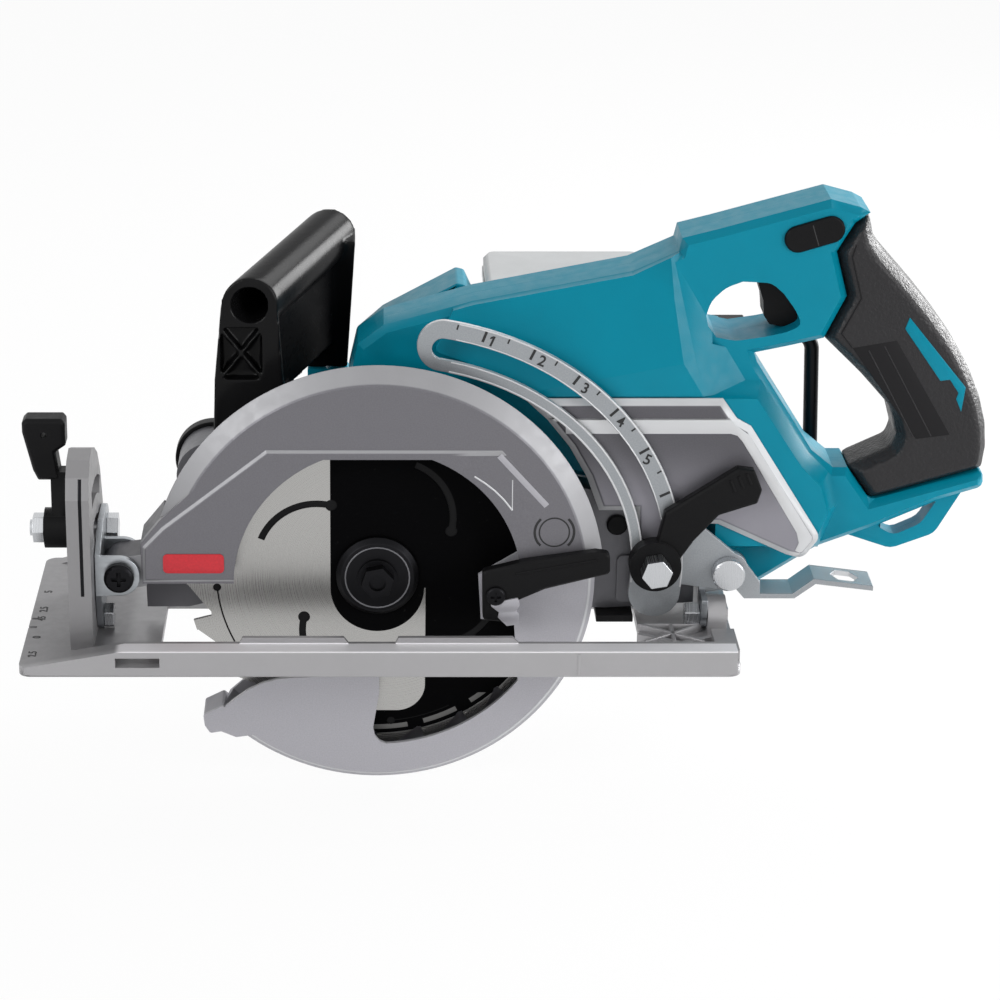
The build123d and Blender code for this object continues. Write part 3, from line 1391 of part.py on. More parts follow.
with BuildPart() as housing_right:
    with BuildSketch(side(handle_far_y - edge_depth)):
        Polygon(*body_outline, align=None)
    extrude(amount=handle_far_y - edge_depth - split_y)
    with BuildSketch(side(handle_far_y - edge_depth)):
        Polygon(*body_outline, align=None)
    extrude(amount=-edge_depth, taper=edge_taper)
    with BuildSketch(side(body_far_y)):
        Polygon(*far_outline, align=None)
    extrude(amount=body_far_y - handle_far_y + edge_depth)
    with BuildSketch(side(split_y + loop_half)):
        Polygon(*loop_outline, align=None)
    extrude(amount=loop_half)
    with BuildSketch(side(split_y + grip_core_half)):
        with BuildLine():
            Polyline(*grip_spine)
        trace(line_width=grip_core_width)
    extrude(amount=grip_core_half)
    with BuildSketch(side(body_far_y)):
        Polygon(*loop_hole, align=None)
        Polygon(*trigger_gap, align=None)
        with Locations((lock_x, lock_z)):
            SlotOverall(lock_length + 2 * running_gap, lock_height + 2 * running_gap, rotation=lock_tilt)
    extrude(amount=body_far_y - split_y, mode=Mode.SUBTRACT)
    with BuildSketch(side(split_y + chamber_half)):
        with Locations((87, 138)):
            Rectangle(126, 28)
    extrude(amount=chamber_half, mode=Mode.SUBTRACT)
    with BuildSketch(side(split_y + switch_half + seat_gap)):
        with Locations((switch_x, switch_z)):
            Rectangle(switch_length + 2 * seat_gap, switch_height + 2 * seat_gap)
    extrude(amount=switch_half + seat_gap, mode=Mode.SUBTRACT)
    with BuildSketch(side(split_y + trigger_width / 2 + 0.6)):
        with Locations(((trigger_front_x + channel_rear_x) / 2, (channel_bottom + channel_top) / 2)):
            Rectangle(channel_rear_x - trigger_front_x, channel_top - channel_bottom)
    extrude(amount=trigger_width / 2 + 0.6, mode=Mode.SUBTRACT)
    with BuildSketch(side(body_far_y)):
        with Locations(*screw_points, *top_screw_points):
            Circle(housing_screw_r + seat_gap)
    extrude(amount=body_far_y - split_y, mode=Mode.SUBTRACT)
    with BuildSketch(side(body_far_y)):
        with Locations(*screw_points, *top_screw_points):
            Circle(housing_screw_head_r + seat_gap)
    extrude(amount=6, mode=Mode.SUBTRACT)
save(housing_right.part, "housing_right")

with BuildPart() as housing_screws:
    with BuildSketch(side(body_far_y - 3)):
        with Locations(*screw_points, *top_screw_points):
            Circle(housing_screw_head_r)
    extrude(amount=3)
    with BuildSketch(side(body_far_y - 4)):
        with Locations(*screw_points, *top_screw_points):
            Circle(housing_screw_r)
    extrude(amount=body_far_y - 4 - split_y + 12)
save(housing_screws.part, "housing_screws")

grip_outer = [
    (233, 205), (235.5, 194), (240.5, 186.5), (248, 178), (258, 166.8), (268, 154.5), (277.5, 141.5), (285.5, 127.5),
    (291.5, 113.5), (295.2, 100), (296.2, 88), (295, 77),
]
grip_inner = [
    (241, 61), (229, 78), (250, 88), (252, 94.4), (248, 108.7), (233, 125.5), (214, 144), (224, 165), (218, 187),
    (226, 201),
]
with BuildPart() as rear_grip:
    with BuildSketch(side(split_y + grip_flat_half)):
        Polygon(*grip_outer, *grip_inner, align=None)
    extrude(amount=2 * grip_flat_half)
    with BuildSketch(side(split_y - grip_flat_half)):
        Polygon(*grip_outer, *grip_inner, align=None)
    extrude(amount=grip_edge, taper=grip_taper)
    with BuildSketch(side(split_y + grip_flat_half)):
        Polygon(*grip_outer, *grip_inner, align=None)
    extrude(amount=-grip_edge, taper=grip_taper)
    with BuildSketch(side(split_y + grip_core_half + seat_gap)):
        with BuildLine():
            Polyline(*grip_spine)
        trace(line_width=grip_core_width + 2 * seat_gap)
    extrude(amount=2 * (grip_core_half + seat_gap), mode=Mode.SUBTRACT)
save(rear_grip.part, "rear_grip")

# Trigger, lock-off button and switch

trigger_top = channel_top - channel_play
trigger_bottom = channel_bottom + channel_play
with BuildPart() as trigger:
    with BuildSketch(side(split_y + trigger_width / 2)) as trigger_outline:
        Polygon(
            (181, trigger_top), (183, 167), (185, 161), (185.8, 153), (188.5, trigger_bottom + 1.4),
            (196, trigger_bottom), (trigger_rear_x, trigger_bottom), (trigger_rear_x, trigger_top), align=None,
        )
        fillet(trigger_outline.vertices().sort_by(Axis.X)[0], 2)
    extrude(amount=trigger_width)
save(trigger.part, "trigger")

with BuildPart() as lock_off_button:
    with BuildSketch(side(lock_far_y)):
        with Locations((lock_x, lock_z)):
            SlotOverall(lock_length, lock_height, rotation=lock_tilt)
    extrude(amount=lock_far_y - lock_near_y)
    chamfer(lock_off_button.faces().sort_by(Axis.Y)[0].edges(), 1)
    chamfer(lock_off_button.faces().sort_by(Axis.Y)[-1].edges(), 1)
save(lock_off_button.part, "lock_off_button")

with BuildPart() as switch_unit:
    with BuildSketch(side(split_y + switch_half)):
        with Locations((switch_x, switch_z)):
            Rectangle(switch_length, switch_height)
    extrude(amount=2 * switch_half)
save(switch_unit.part, "switch_unit")

# Controller and its cover

cover_near_y = body_far_y + free_gap
cover_far_y = 93.5
controller_x = 20.0
controller_z = 117.0
controller_length = 40.0
controller_height = 32.0
with BuildPart() as controller_cover:
    with BuildSketch(side(cover_far_y)):
        Polygon(
            (-14, 96), (-14, 112), (-10, 130), (3, 141.5), (39, 161), (43, 160), (49, 147), (50, 96), align=None,
        )
    extrude(amount=cover_far_y - cover_near_y)
    chamfer(controller_cover.faces().sort_by(Axis.Y)[-1].edges(), 4)
    with BuildSketch(side(cover_far_y - 5)):
        with Locations((controller_x, controller_z)):
            Rectangle(controller_length + 4, controller_height + 4)
    extrude(amount=cover_far_y - cover_near_y, mode=Mode.SUBTRACT)
save(controller_cover.part, "controller_cover")

with BuildPart() as controller:
    with BuildSketch(side(cover_far_y - 5)):
        with Locations((controller_x, controller_z)):
            Rectangle(controller_length, controller_height)
    extrude(amount=cover_far_y - 5 - body_far_y - 2)
save(controller.part, "controller")

with BuildPart() as belly_cover:
    with BuildSketch(side(28)):
        Polygon((107, 5), (125, 5), (125, 8.7), (107, 8.7), align=None)
    extrude(amount=23)
save(belly_cover.part, "belly_cover")

with BuildPart() as shaft_lock_button:
    with BuildSketch(side(shaft_lock_end_y)):
        with Locations(shaft_lock_point):
            Circle(shaft_lock_r)
    extrude(amount=shaft_lock_length)
    chamfer(shaft_lock_button.faces().sort_by(Axis.Y)[0].edges(), 0.8)
save(shaft_lock_button.part, "shaft_lock_button")

# Front handle

handle_near_post_y = front_handle_y + handle_end_length
far_post_y = front_handle_y + handle_run_y
far_end_x = handle_hole_x + handle_run_x
far_end_z = handle_hole_z + handle_run_z
with BuildPart() as front_handle:
    with BuildSketch(side(front_handle_y)):
        with Locations((handle_hole_x, handle_hole_z)):
            Circle(handle_bar_r)
    extrude(amount=handle_run.length, dir=handle_run)
    with BuildSketch(side(front_handle_y)):
        Polygon(
            (handle_hole_x - handle_web_half, handle_web_bottom), (handle_hole_x + handle_web_half, handle_web_bottom),
            (handle_hole_x + handle_web_half, handle_hole_z), (handle_hole_x - handle_web_half, handle_hole_z),
            align=None,
        )
    extrude(amount=handle_run.length, dir=handle_run)
    with BuildSketch(side(handle_near_post_y)):
        Polygon(
            (-74.4, handle_hole_z), (-47.6, handle_hole_z), (-45, 125), (-41, handle_foot_z),
            (-79, handle_foot_z), (-78, 126), align=None,
        )
    extrude(amount=handle_end_length)
    with BuildSketch(side(lug_far_y - 1)):
        Polygon((-76, handle_foot_z), (-39, handle_foot_z), (-42, 118), (-74, 118), align=None)
    extrude(amount=lug_far_y - 1 - front_handle_y)
    with BuildSketch(side(far_post_y)):
        Polygon(
            (far_end_x - 11, motor_lug_top + 0.2), (far_end_x + 9, motor_lug_top + 0.2),
            (far_end_x + handle_bar_r - 0.2, far_end_z), (far_end_x - handle_bar_r + 0.2, far_end_z), align=None,
        )
    extrude(amount=14)
    with BuildSketch(side(front_handle_y)):
        with Locations((handle_hole_x, handle_hole_z)):
            Circle(handle_hole_r)
    extrude(amount=handle_hole_depth, dir=handle_run, mode=Mode.SUBTRACT)
    pocket_mid = (handle_pocket_low + handle_pocket_high) / 2
    with BuildSketch(side(front_handle_y)):
        with Locations((-65, pocket_mid)):
            Rectangle(2 * handle_pocket_half, handle_pocket_high - handle_pocket_low)
            Rectangle(40, handle_rib, rotation=52, mode=Mode.SUBTRACT)
            Rectangle(40, handle_rib, rotation=-52, mode=Mode.SUBTRACT)
    extrude(amount=-handle_pocket_depth, mode=Mode.SUBTRACT)
    with BuildSketch(plan(handle_foot_z - 1)):
        with Locations((handle_screw_x, handle_screw_y)):
            Circle(handle_screw_r + seat_gap)
    extrude(amount=17, mode=Mode.SUBTRACT)
    with BuildSketch(plan(motor_lug_top - 1)):
        with Locations((motor_lug_x, motor_lug_mid_y)):
            Circle(handle_screw_r + seat_gap)
    extrude(amount=17, mode=Mode.SUBTRACT)
save(front_handle.part, "front_handle")

with BuildPart() as handle_screws:
    with BuildSketch(plan(lug_top - screw_land - 4)):
        with Locations((handle_screw_x, handle_screw_y)):
            Circle(handle_screw_head_r)
    extrude(amount=4)
    with BuildSketch(plan(lug_top - screw_land)):
        with Locations((handle_screw_x, handle_screw_y)):
            Circle(handle_screw_r)
    extrude(amount=screw_land + 14)
    with BuildSketch(plan(motor_lug_top - screw_land - 4)):
        with Locations((motor_lug_x, motor_lug_mid_y)):
            Circle(handle_screw_head_r)
    extrude(amount=4)
    with BuildSketch(plan(motor_lug_top - screw_land)):
        with Locations((motor_lug_x, motor_lug_mid_y)):
            Circle(handle_screw_r)
    extrude(amount=screw_land + 14)
save(handle_screws.part, "handle_screws")

# Dust nozzle

nozzle_end_y = case_far_y + nozzle_length
with BuildPart() as dust_nozzle:
    with BuildSketch(side(nozzle_end_y)):
        with Locations((nozzle_x, nozzle_z)):
            Circle(nozzle_r)
    extrude(amount=nozzle_length)
    with BuildSketch(side(nozzle_end_y)):
        with Locations((nozzle_x, nozzle_z)):
            Circle(nozzle_bore_r)
    extrude(amount=nozzle_length - 2, mode=Mode.SUBTRACT)
    with BuildSketch(side(nozzle_end_y)):
        with Locations((nozzle_x, nozzle_z)):
            Circle(nozzle_port_r)
    extrude(amount=nozzle_length, mode=Mode.SUBTRACT)
save(dust_nozzle.part, "dust_nozzle")

with BuildPart() as nozzle_ring:
    with BuildSketch(side(nozzle_end_y)):
        with Locations((nozzle_x, nozzle_z)):
            Circle(nozzle_ring_r)
            Circle(nozzle_r + seat_gap, mode=Mode.SUBTRACT)
    extrude(amount=nozzle_ring_width)
save(nozzle_ring.part, "nozzle_ring")

# Hook

with BuildPart() as hook_bracket:
    with BuildSketch(front(161)):
        with Locations((67.15, hook_z)):
            Rectangle(13.7, 14)
        with Locations((hook_y, hook_z)):
            Circle(hook_wire_r + running_gap, mode=Mode.SUBTRACT)
    extrude(amount=20)
save(hook_bracket.part, "hook_bracket")

with BuildPart() as hook:
    with BuildLine(side(hook_y)):
        FilletPolyline((160, hook_z), (214.5, hook_z), (217, 58), (168, 52), radius=9)
    with BuildSketch(Plane(origin=(160, hook_y, hook_z), z_dir=(1, 0, 0))):
        Circle(hook_wire_r)
    sweep()
save(hook.part, "hook")

# Battery

terminal_bottom = 84.0
terminal_x = battery_mid_x
neck_length = terminal_length - 2 * rail_groove
neck_end_y = battery_near_y + 2.7
flange_end_y = body_far_y + terminal_reach + 2.0
with BuildPart() as battery_terminal:
    with BuildSketch(side(neck_end_y)):
        with Locations((terminal_x, terminal_bottom + terminal_height / 2)):
            Rectangle(neck_length, terminal_height)
    extrude(amount=neck_end_y - body_far_y)
    with BuildSketch(side(flange_end_y)):
        with Locations((terminal_x, terminal_bottom + terminal_height / 2)):
            Rectangle(terminal_length, terminal_height)
    extrude(amount=flange_end_y - neck_end_y)
save(battery_terminal.part, "battery_terminal")

slot_top = terminal_bottom + terminal_height + 0.5
button_mid_y = battery_near_y + 10.0
button_gap = 0.4
button_bottom = battery_top - button_height + 1.0
cell_mid_y = (flange_end_y + battery_wall + battery_far_y - battery_wall) / 2 + 0.6
cells_low = battery_bottom + battery_wall + 0.5 + cell_r
with BuildPart() as battery_case:
    with BuildSketch(plan(battery_bottom)):
        with Locations((battery_mid_x, battery_mid_y)):
            RectangleRounded(battery_length, battery_depth, battery_corner)
    extrude(amount=battery_height)
    chamfer(battery_case.faces().sort_by(Axis.Z)[-1].edges(), 2.5)
    chamfer(battery_case.faces().sort_by(Axis.Z)[0].edges(), 2.5)
    with BuildSketch(plan(battery_bottom + battery_wall)):
        with Locations((battery_mid_x, cell_mid_y)):
            Rectangle(cell_length + 1, 2 * cell_pitch_y)
    extrude(amount=(cell_rows - 1) * cell_pitch_z + 2 * cell_r + 1, mode=Mode.SUBTRACT)
    with BuildSketch(side(neck_end_y)):
        with Locations((terminal_x, (battery_bottom + slot_top) / 2)):
            Rectangle(neck_length + 2 * free_gap, slot_top - battery_bottom)
    extrude(amount=10, mode=Mode.SUBTRACT)
    with BuildSketch(side(flange_end_y + free_gap)):
        with Locations((terminal_x, (battery_bottom + slot_top) / 2)):
            Rectangle(terminal_length + 2 * free_gap, slot_top - battery_bottom)
    extrude(amount=flange_end_y + 2 * free_gap - neck_end_y, mode=Mode.SUBTRACT)
    with BuildSketch(plan(button_bottom - button_gap)):
        with Locations((battery_mid_x, button_mid_y + button_travel / 2)):
            Rectangle(button_length + 2 * button_gap, button_width + button_travel + 2 * button_gap)
    extrude(amount=button_height + 4, mode=Mode.SUBTRACT)
save(battery_case.part, "battery_case")

with BuildPart() as battery_cells:
    with BuildSketch(front(battery_mid_x - cell_length / 2)):
        with Locations((cell_mid_y, cells_low + 2 * cell_pitch_z)):
            with GridLocations(cell_pitch_y - 3, cell_pitch_z, 2, cell_rows):
                Circle(cell_r)
    extrude(amount=cell_length)
save(battery_cells.part, "battery_cells")

with BuildPart() as battery_release_button:
    with BuildSketch(plan(button_bottom)):
        with Locations((battery_mid_x, button_mid_y)):
            Rectangle(button_length, button_width)
    extrude(amount=button_height)
    chamfer(battery_release_button.faces().sort_by(Axis.Z)[-1].edges(), 0.8)
save(battery_release_button.part, "battery_release_button")
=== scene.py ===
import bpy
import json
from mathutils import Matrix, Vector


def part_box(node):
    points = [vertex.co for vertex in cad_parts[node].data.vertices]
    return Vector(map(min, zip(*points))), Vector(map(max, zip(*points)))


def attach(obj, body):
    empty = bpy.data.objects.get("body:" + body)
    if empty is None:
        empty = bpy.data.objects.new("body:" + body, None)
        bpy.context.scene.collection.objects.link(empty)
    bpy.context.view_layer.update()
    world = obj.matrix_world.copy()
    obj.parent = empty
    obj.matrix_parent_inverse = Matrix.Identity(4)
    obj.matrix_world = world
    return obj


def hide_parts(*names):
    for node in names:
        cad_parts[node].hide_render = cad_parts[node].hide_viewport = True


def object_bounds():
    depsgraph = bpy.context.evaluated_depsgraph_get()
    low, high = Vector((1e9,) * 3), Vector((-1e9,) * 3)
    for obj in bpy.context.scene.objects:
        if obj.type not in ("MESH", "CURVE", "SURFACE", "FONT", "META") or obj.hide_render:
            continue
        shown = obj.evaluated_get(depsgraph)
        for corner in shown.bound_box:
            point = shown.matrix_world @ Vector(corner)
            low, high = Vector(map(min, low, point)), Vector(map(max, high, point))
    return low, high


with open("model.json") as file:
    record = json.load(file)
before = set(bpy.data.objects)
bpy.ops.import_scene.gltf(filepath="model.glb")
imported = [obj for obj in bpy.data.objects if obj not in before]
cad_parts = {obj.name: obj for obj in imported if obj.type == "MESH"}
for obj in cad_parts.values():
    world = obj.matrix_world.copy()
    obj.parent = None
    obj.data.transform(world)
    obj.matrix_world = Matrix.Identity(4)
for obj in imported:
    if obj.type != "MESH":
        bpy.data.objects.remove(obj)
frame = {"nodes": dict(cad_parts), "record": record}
cad_box = [list(corner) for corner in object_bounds()]

import json
from math import cos, pi, radians, sin

import bmesh
import bpy
from bpy.props import FloatProperty, FloatVectorProperty, PointerProperty
from mathutils import Matrix, Vector
from mathutils.bvhtree import BVHTree

bl_info = {
    "name": "Rear-handle circular saw",
    "version": (1, 0, 0),
    "blender": (4, 5, 0),
    "location": "3D View > Sidebar > Saw",
    "description": "Dresses the packed saw with its finishes, marks and stage",
    "category": "Object",
}

MM = 0.001
WHITE = (1, 1, 1, 1)
ARBOR = Vector((0.0, 0.0, 32.5)) * MM

# Depth linkage and its scale, in millimetres and degrees
DEPTH_PIVOT = (-124.0, 36.0)
CLAMP_POINT = (134.0, 38.5)
LINK_PIN = (170.0, 32.7)
LINK_RATIO = 0.61
# Painted highlight lines along the link's edges and slot: name, distance out from the slot's middle
# line and width.
LINK_HIGHLIGHT_LINES = (
    ("outer", 13.5, 0.8), ("upper", 5.7, 0.6), ("lower", -5.7, 0.8), ("inner", -10.5, 1.0))
SCALE_FIRST = 7.6
SCALE_STEP = 5.0
SCALE_STEPS = 5
DIGIT_LEAN = 24

# Lines and outlines on near faces, as X and Z in millimetres
RING_CENTRE = (84.4, 59.4)
# Paths of the raised arrow on the case, which is drawn with a painted highlight.
ARROW_SWEEP = ((45.9, 88.1), (51, 84.6), (55.6, 80.8), (60, 76.2), (64.1, 70.8))
ARROW_SIDE = ((64, 86.1), (64.1, 70.8))
# Path of a raised line along the step on the case's face, which carries a painted highlight.
CASE_STEP = [(57.6 + 22.9 * i / 8, 98.4 - 25.6 * i / 8) for i in range(9)]
PLATE_CENTRE = (-88.0, 43.9)
PLATE_HALF = (14.6, 4.9)
PLATE_CORNER = 2.2
GUARD_RIDGE = ((66, 41.2), (104.5, 48.2))
LUG_PLATE = ((53.9, 26.5), (67.1, 29.1), (68.2, 25.2), (66.1, 22.2), (58.4, 21.4), (54.4, 24.7))
LUG_FOOT = ((58.2, 22), (66.2, 22.8), (67.9, 20.4), (67.4, 15.1), (62, 14.3), (57.7, 18.8))
# Path of the groove on the base's quadrant, drawn as a dark raised line, a painted shade.
QUADRANT_GROOVE = [(-140.3, z) for z in (32, 44, 56, 68, 77, 79.5, 80.5, 81.5, 84, 87, 90)]
BASE_SEAM = ((95, 1.2), (95, 11.6))
DEPTH_LEVER_RIBS = (
    ((168.6, 82), (171, 76.2)), ((172.4, 84), (174.8, 78.2)), ((176.2, 85.4), (178.4, 80)))
# Outline of a lighter band along the panel's upper and right edges, a painted highlight.
PANEL_RIM = (
    (90, 109.2), (168.6, 109.2), (171.4, 106.4), (177.8, 101.6), (180.4, 97.4), (210.6, 49.2),
    (210.4, 47.2), (206.2, 41.6), (204.8, 41.1), (202.6, 42.2), (204.2, 46.2), (203, 51.4),
    (174.8, 98.2), (172.2, 101.2), (169, 102.2), (90, 102.2))
LOCK_OFF_LINE = ((205.2, 201.2), (208.4, 191.4))
GRIP_INLAY = (
    (253.9, 155.6), (283, 120.4), (281.6, 107.9), (278.7, 114.5), (279.6, 117.6), (275.1, 124.3),
    (270.5, 123.7), (252, 149.8))
GRIP_PAD = ((227.4, 140.2), (248.6, 144), (277, 96.2), (260.6, 94))
GRIP_BORDER = ((226.5, 191), (224.9, 185.2), (230.4, 164.9), (221.8, 147.5), (227.4, 140.2))
GRIP_LINES = (((235.3, 138.9), (259, 95.4)), ((242.6, 141.2), (267.8, 95.6)))

# What lies on the base's deck, as X and Y in millimetres
DECK = 4.5
BASE_NUMBERS_X = -164.6
BASE_NUMBERS = (("2.5", -33.2), ("0", -12.6), ("45", 10.8), ("2.5", 22.5), ("5", 45.6))
BASE_RIBS = (
    ((128, -26), (157, -5)), ((128, -5), (157, -26)), ((126, -5), (157, -5)),
    ((142.5, -26), (142.5, -5)))

# The number 1 with its flag, in shares of its size
FIGURE_ONE = (
    (-0.04, 0.35), (0.1, 0.35), (0.1, -0.35), (-0.04, -0.35), (-0.04, 0.17), (-0.19, 0.07),
    (-0.19, 0.21))

# Limits for eased edges: room beside an edge in widths, angles in degrees, share of its run in Y
EDGE_ROOM = 2.1
EDGE_ANGLE = 18.0
CORNER_ANGLE = 12.0
SHARP_ANGLE = 40
THROUGH_SHARE = 0.97

# Lamps: name, setting, place and size, in metres
LAMPS = (
    ("key_lamp", "key", (-1.05, -1.05, 0.8), 0.8),
    ("fill_lamp", "fill", (1.35, -0.85, 0.5), 0.8),
    ("top_lamp", "top", (0.8, 0.7, 1.1), 1.0),
    ("rim_lamp", "rim", (1.3, 0.85, 0.4), 0.7))
LAMP_AIM = Vector((0.05, 0.02, 0.06))

# Camera
EYE = Vector((-5.0, -1371.5, 583.4)) * MM
EYE_TILT = 69.5
EYE_SHIFT = 0.133
SENSOR = 36.0
FAR_CLIP = 30.0


def linear(red, green, blue):
    """A screen colour, 0 to 255, as the linear colour that a shader takes."""
    parts = []
    for part in (red, green, blue):
        share = part / 255
        parts.append(share / 12.92 if share <= 0.04045 else ((share + 0.055) / 1.055) ** 2.4)
    return (*parts, 1.0)


def colour_setting(label, note, screen):
    """A colour property with a screen colour as its default."""
    return FloatVectorProperty(
        name=label, description=note, subtype="COLOR", size=4, min=0.0, max=1.0,
        default=linear(*screen))


def length_setting(label, note, length):
    """A length property in metres, from a length in millimetres."""
    return FloatProperty(
        name=label, description=note, subtype="DISTANCE", unit="LENGTH", min=0.0,
        default=length * MM, precision=5)


def power_setting(label, watts):
    """The power of a lamp."""
    return FloatProperty(
        name=label, description="Power of the " + label.lower(), unit="POWER", min=0.0,
        default=watts)


class SawColours(bpy.types.PropertyGroup):
    """Colours of the saw's finishes."""

    body: colour_setting("Body", "Moulded body halves", (0, 132, 156))
    black: colour_setting("Black mouldings", "Front handle, levers and covers", (16, 16, 17))
    rubber: colour_setting("Grip", "Soft over-mould of the rear grip", (33, 32, 34))
    case: colour_setting("Blade case", "Painted alloy of the blade case", (110, 109, 114))
    panel: colour_setting("Panel", "Painted alloy of the frame panel", (88, 87, 92))
    # Painted highlight colour for the bevels and the step of the blade case.
    edge: colour_setting("Case edge", "Bright bevel of the blade case", (156, 156, 159))
    bright: colour_setting("Bright edge", "Edges of the panel and the depth link", (206, 207, 209))
    # Painted highlight colour for the bevels and lines of the panel, the depth link and the lower
    # guard.
    guard: colour_setting("Lower guard", "Painted lower guard", (172, 171, 177))
    base: colour_setting("Base", "Cast base plate", (166, 165, 167))
    zinc: colour_setting("Zinc", "Plated brackets and links", (172, 176, 180))
    blade: colour_setting("Blade", "Brushed blade steel", (176, 175, 173))
    blade_print: colour_setting("Blade print", "Dark printed zone of the blade", (9, 9, 10))
    battery: colour_setting("Battery", "Moulded battery shell", (196, 198, 199))
    plate: colour_setting("Plate", "Plain plate on the blade case", (200, 36, 48))
    marks: colour_setting("Marks", "Scale marks and numbers", (20, 20, 22))


class SawSizes(bpy.types.PropertyGroup):
    """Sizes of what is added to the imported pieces."""

    soft_edge: length_setting("Moulded edge", "Rounding of moulded edges", 0.9)
    outline_corner: length_setting("Outline corner", "Rounding of the body's outline", 2.6)
    cast_edge: length_setting("Cast edge", "Rounding of cast edges", 0.6)
    sheet_edge: length_setting("Sheet edge", "Rounding of pressed sheet edges", 0.35)
    mark_height: length_setting("Mark height", "How far marks stand off their surface", 0.12)
    tick_length: length_setting("Tick length", "Length of a long tick of the depth scale", 5.4)
    tick_width: length_setting("Tick width", "Width of a long tick of the depth scale", 1.3)
    digit_size: length_setting("Digit size", "Size of the depth scale's numbers", 7.4)
    base_digit_size: length_setting("Base digit size", "Size of the numbers on the base", 5.6)
    rib_width: length_setting("Rib width", "Width of the fine ribs on the grip", 0.7)


class SawStage(bpy.types.PropertyGroup):
    """Floor, lamps and camera."""

    floor: colour_setting("Floor", "Floor and backdrop", (250, 250, 250))
    key: power_setting("Key lamp", 9.0)
    fill: power_setting("Fill lamp", 11.0)
    top: power_setting("Top lamp", 11.0)
    rim: power_setting("Rim lamp", 20.0)
    lens: FloatProperty(
        name="Lens", description="Focal length of the camera in mm", min=1.0, default=109.8)


def join(tree, slot, item):
    """Links a signal to a socket, or sets the socket to a plain value."""
    if isinstance(item, Signal):
        tree.links.new(item.socket, slot)
    elif isinstance(item, bpy.types.NodeSocket):
        tree.links.new(item, slot)
    else:
        slot.default_value = item


def new_node(tree, kind, settings=None, inputs=None):
    """Adds a shader node: its settings first, then the values or links of its sockets."""
    made = tree.nodes.new(kind)
    for key, value in (settings or {}).items():
        setattr(made, key, value)
    for key, value in (inputs or {}).items():
        join(tree, made.inputs[key], value)
    return made


class Signal:
    """What comes out of a shader node. Sums with it add Math nodes."""

    def __init__(self, tree, socket):
        self.tree = tree
        self.socket = socket

    def math(self, operation, *items):
        made = new_node(
            self.tree, "ShaderNodeMath", {"operation": operation}, dict(enumerate(items)))
        return Signal(self.tree, made.outputs[0])

    def __add__(self, other):
        return self.math("ADD", self, other)

    def __radd__(self, other):
        return self.math("ADD", other, self)

    def __sub__(self, other):
        return self.math("SUBTRACT", self, other)

    def __rsub__(self, other):
        return self.math("SUBTRACT", other, self)

    def __mul__(self, other):
        return self.math("MULTIPLY", self, other)

    def __rmul__(self, other):
        return self.math("MULTIPLY", other, self)

    def __pow__(self, other):
        return self.math("POWER", self, other)

    def __gt__(self, other):
        return self.math("GREATER_THAN", self, other)

    def __lt__(self, other):
        return self.math("LESS_THAN", self, other)

    def larger(self, other):
        return self.math("MAXIMUM", self, other)

    def sine(self):
        return self.math("SINE", self)

    def angle_over(self, other):
        return self.math("ARCTAN2", self, other)


def in_view(tree):
    """1 for rays from the camera, from gloss and through glass, and 0 for the rest."""
    rays = new_node(tree, "ShaderNodeLightPath").outputs
    camera, glossy, through = [
        Signal(tree, rays["Is " + kind + " Ray"]) for kind in ("Camera", "Glossy", "Transmission")]
    return camera.larger(glossy).larger(through)


def shade(colour, share):
    """A colour made darker or lighter by a share."""
    return (*[min(1.0, part * share) for part in colour[:3]], 1.0)


finishes = {}


class Finish:
    """A material, kept under its name, and the nodes behind its shader."""

    def __init__(self, name, **sockets):
        self.material = bpy.data.materials.new(name)
        finishes[name] = self.material
        self.material.use_nodes = True
        self.tree = self.material.node_tree
        self.shader = self.tree.nodes["Principled BSDF"]
        for key, value in sockets.items():
            self.shader.inputs[key.replace("_", " ")].default_value = value
        self.material.diffuse_color = sockets["Base_Color"]

    def node(self, kind, settings=None, inputs=None, output=0):
        """Adds a node and gives one of its outputs."""
        made = new_node(self.tree, kind, settings, inputs)
        return Signal(self.tree, made.outputs[output])

    def place(self, scale=(1, 1, 1)):
        """Object coordinates, scaled."""
        object_place = self.node("ShaderNodeTexCoord", output="Object")
        return self.node("ShaderNodeMapping", {}, {"Vector": object_place, "Scale": scale})

    def axes(self):
        """The X, Y and Z of a point on the piece, in metres."""
        object_place = self.node("ShaderNodeTexCoord", output="Object")
        split = new_node(self.tree, "ShaderNodeSeparateXYZ", {}, {0: object_place})
        return [Signal(self.tree, socket) for socket in split.outputs]

    def noise(self, scale, detail, stretch=(1, 1, 1)):
        """Noise between 0 and 1 on the piece."""
        return self.node("ShaderNodeTexNoise", {"noise_dimensions": "3D"}, {
            "Vector": self.place(stretch), "Scale": scale, "Detail": detail, "Roughness": 0.55})

    def rings(self, away, scale, detail):
        """Fine rings: noise that changes with the distance from an axis alone."""
        return self.node("ShaderNodeTexNoise", {"noise_dimensions": "1D"}, {
            "W": away, "Scale": scale, "Detail": detail})

    def spread(self, signal, low, high, to_low, to_high):
        """A signal stretched from one range to another, and held at its ends."""
        settings = {"interpolation_type": "SMOOTHSTEP", "clamp": True}
        return self.node("ShaderNodeMapRange", settings, {
            0: signal, 1: low, 2: high, 3: to_low, 4: to_high})

    def blend(self, share, first, second):
        """A colour between two colours."""
        return self.node("ShaderNodeMix", {"data_type": "RGBA"}, {0: share, 6: first, 7: second}, 2)

    def shaded(self, share, colour, dark, light):
        """A colour between a darker and a lighter shade of itself."""
        return self.blend(share, shade(colour, dark), shade(colour, light))

    def feed(self, socket, signal):
        self.tree.links.new(signal.socket, self.shader.inputs[socket])

    def roughen(self, signal, low, high):
        """Roughness between two values, from a signal about its middle."""
        self.feed("Roughness", self.spread(signal, 0.3, 0.7, low, high))

    def bump(self, height, depth):
        """Relief on the shader's normal, with its depth in metres."""
        self.feed("Normal", self.node("ShaderNodeBump", {}, {"Height": height, "Distance": depth}))


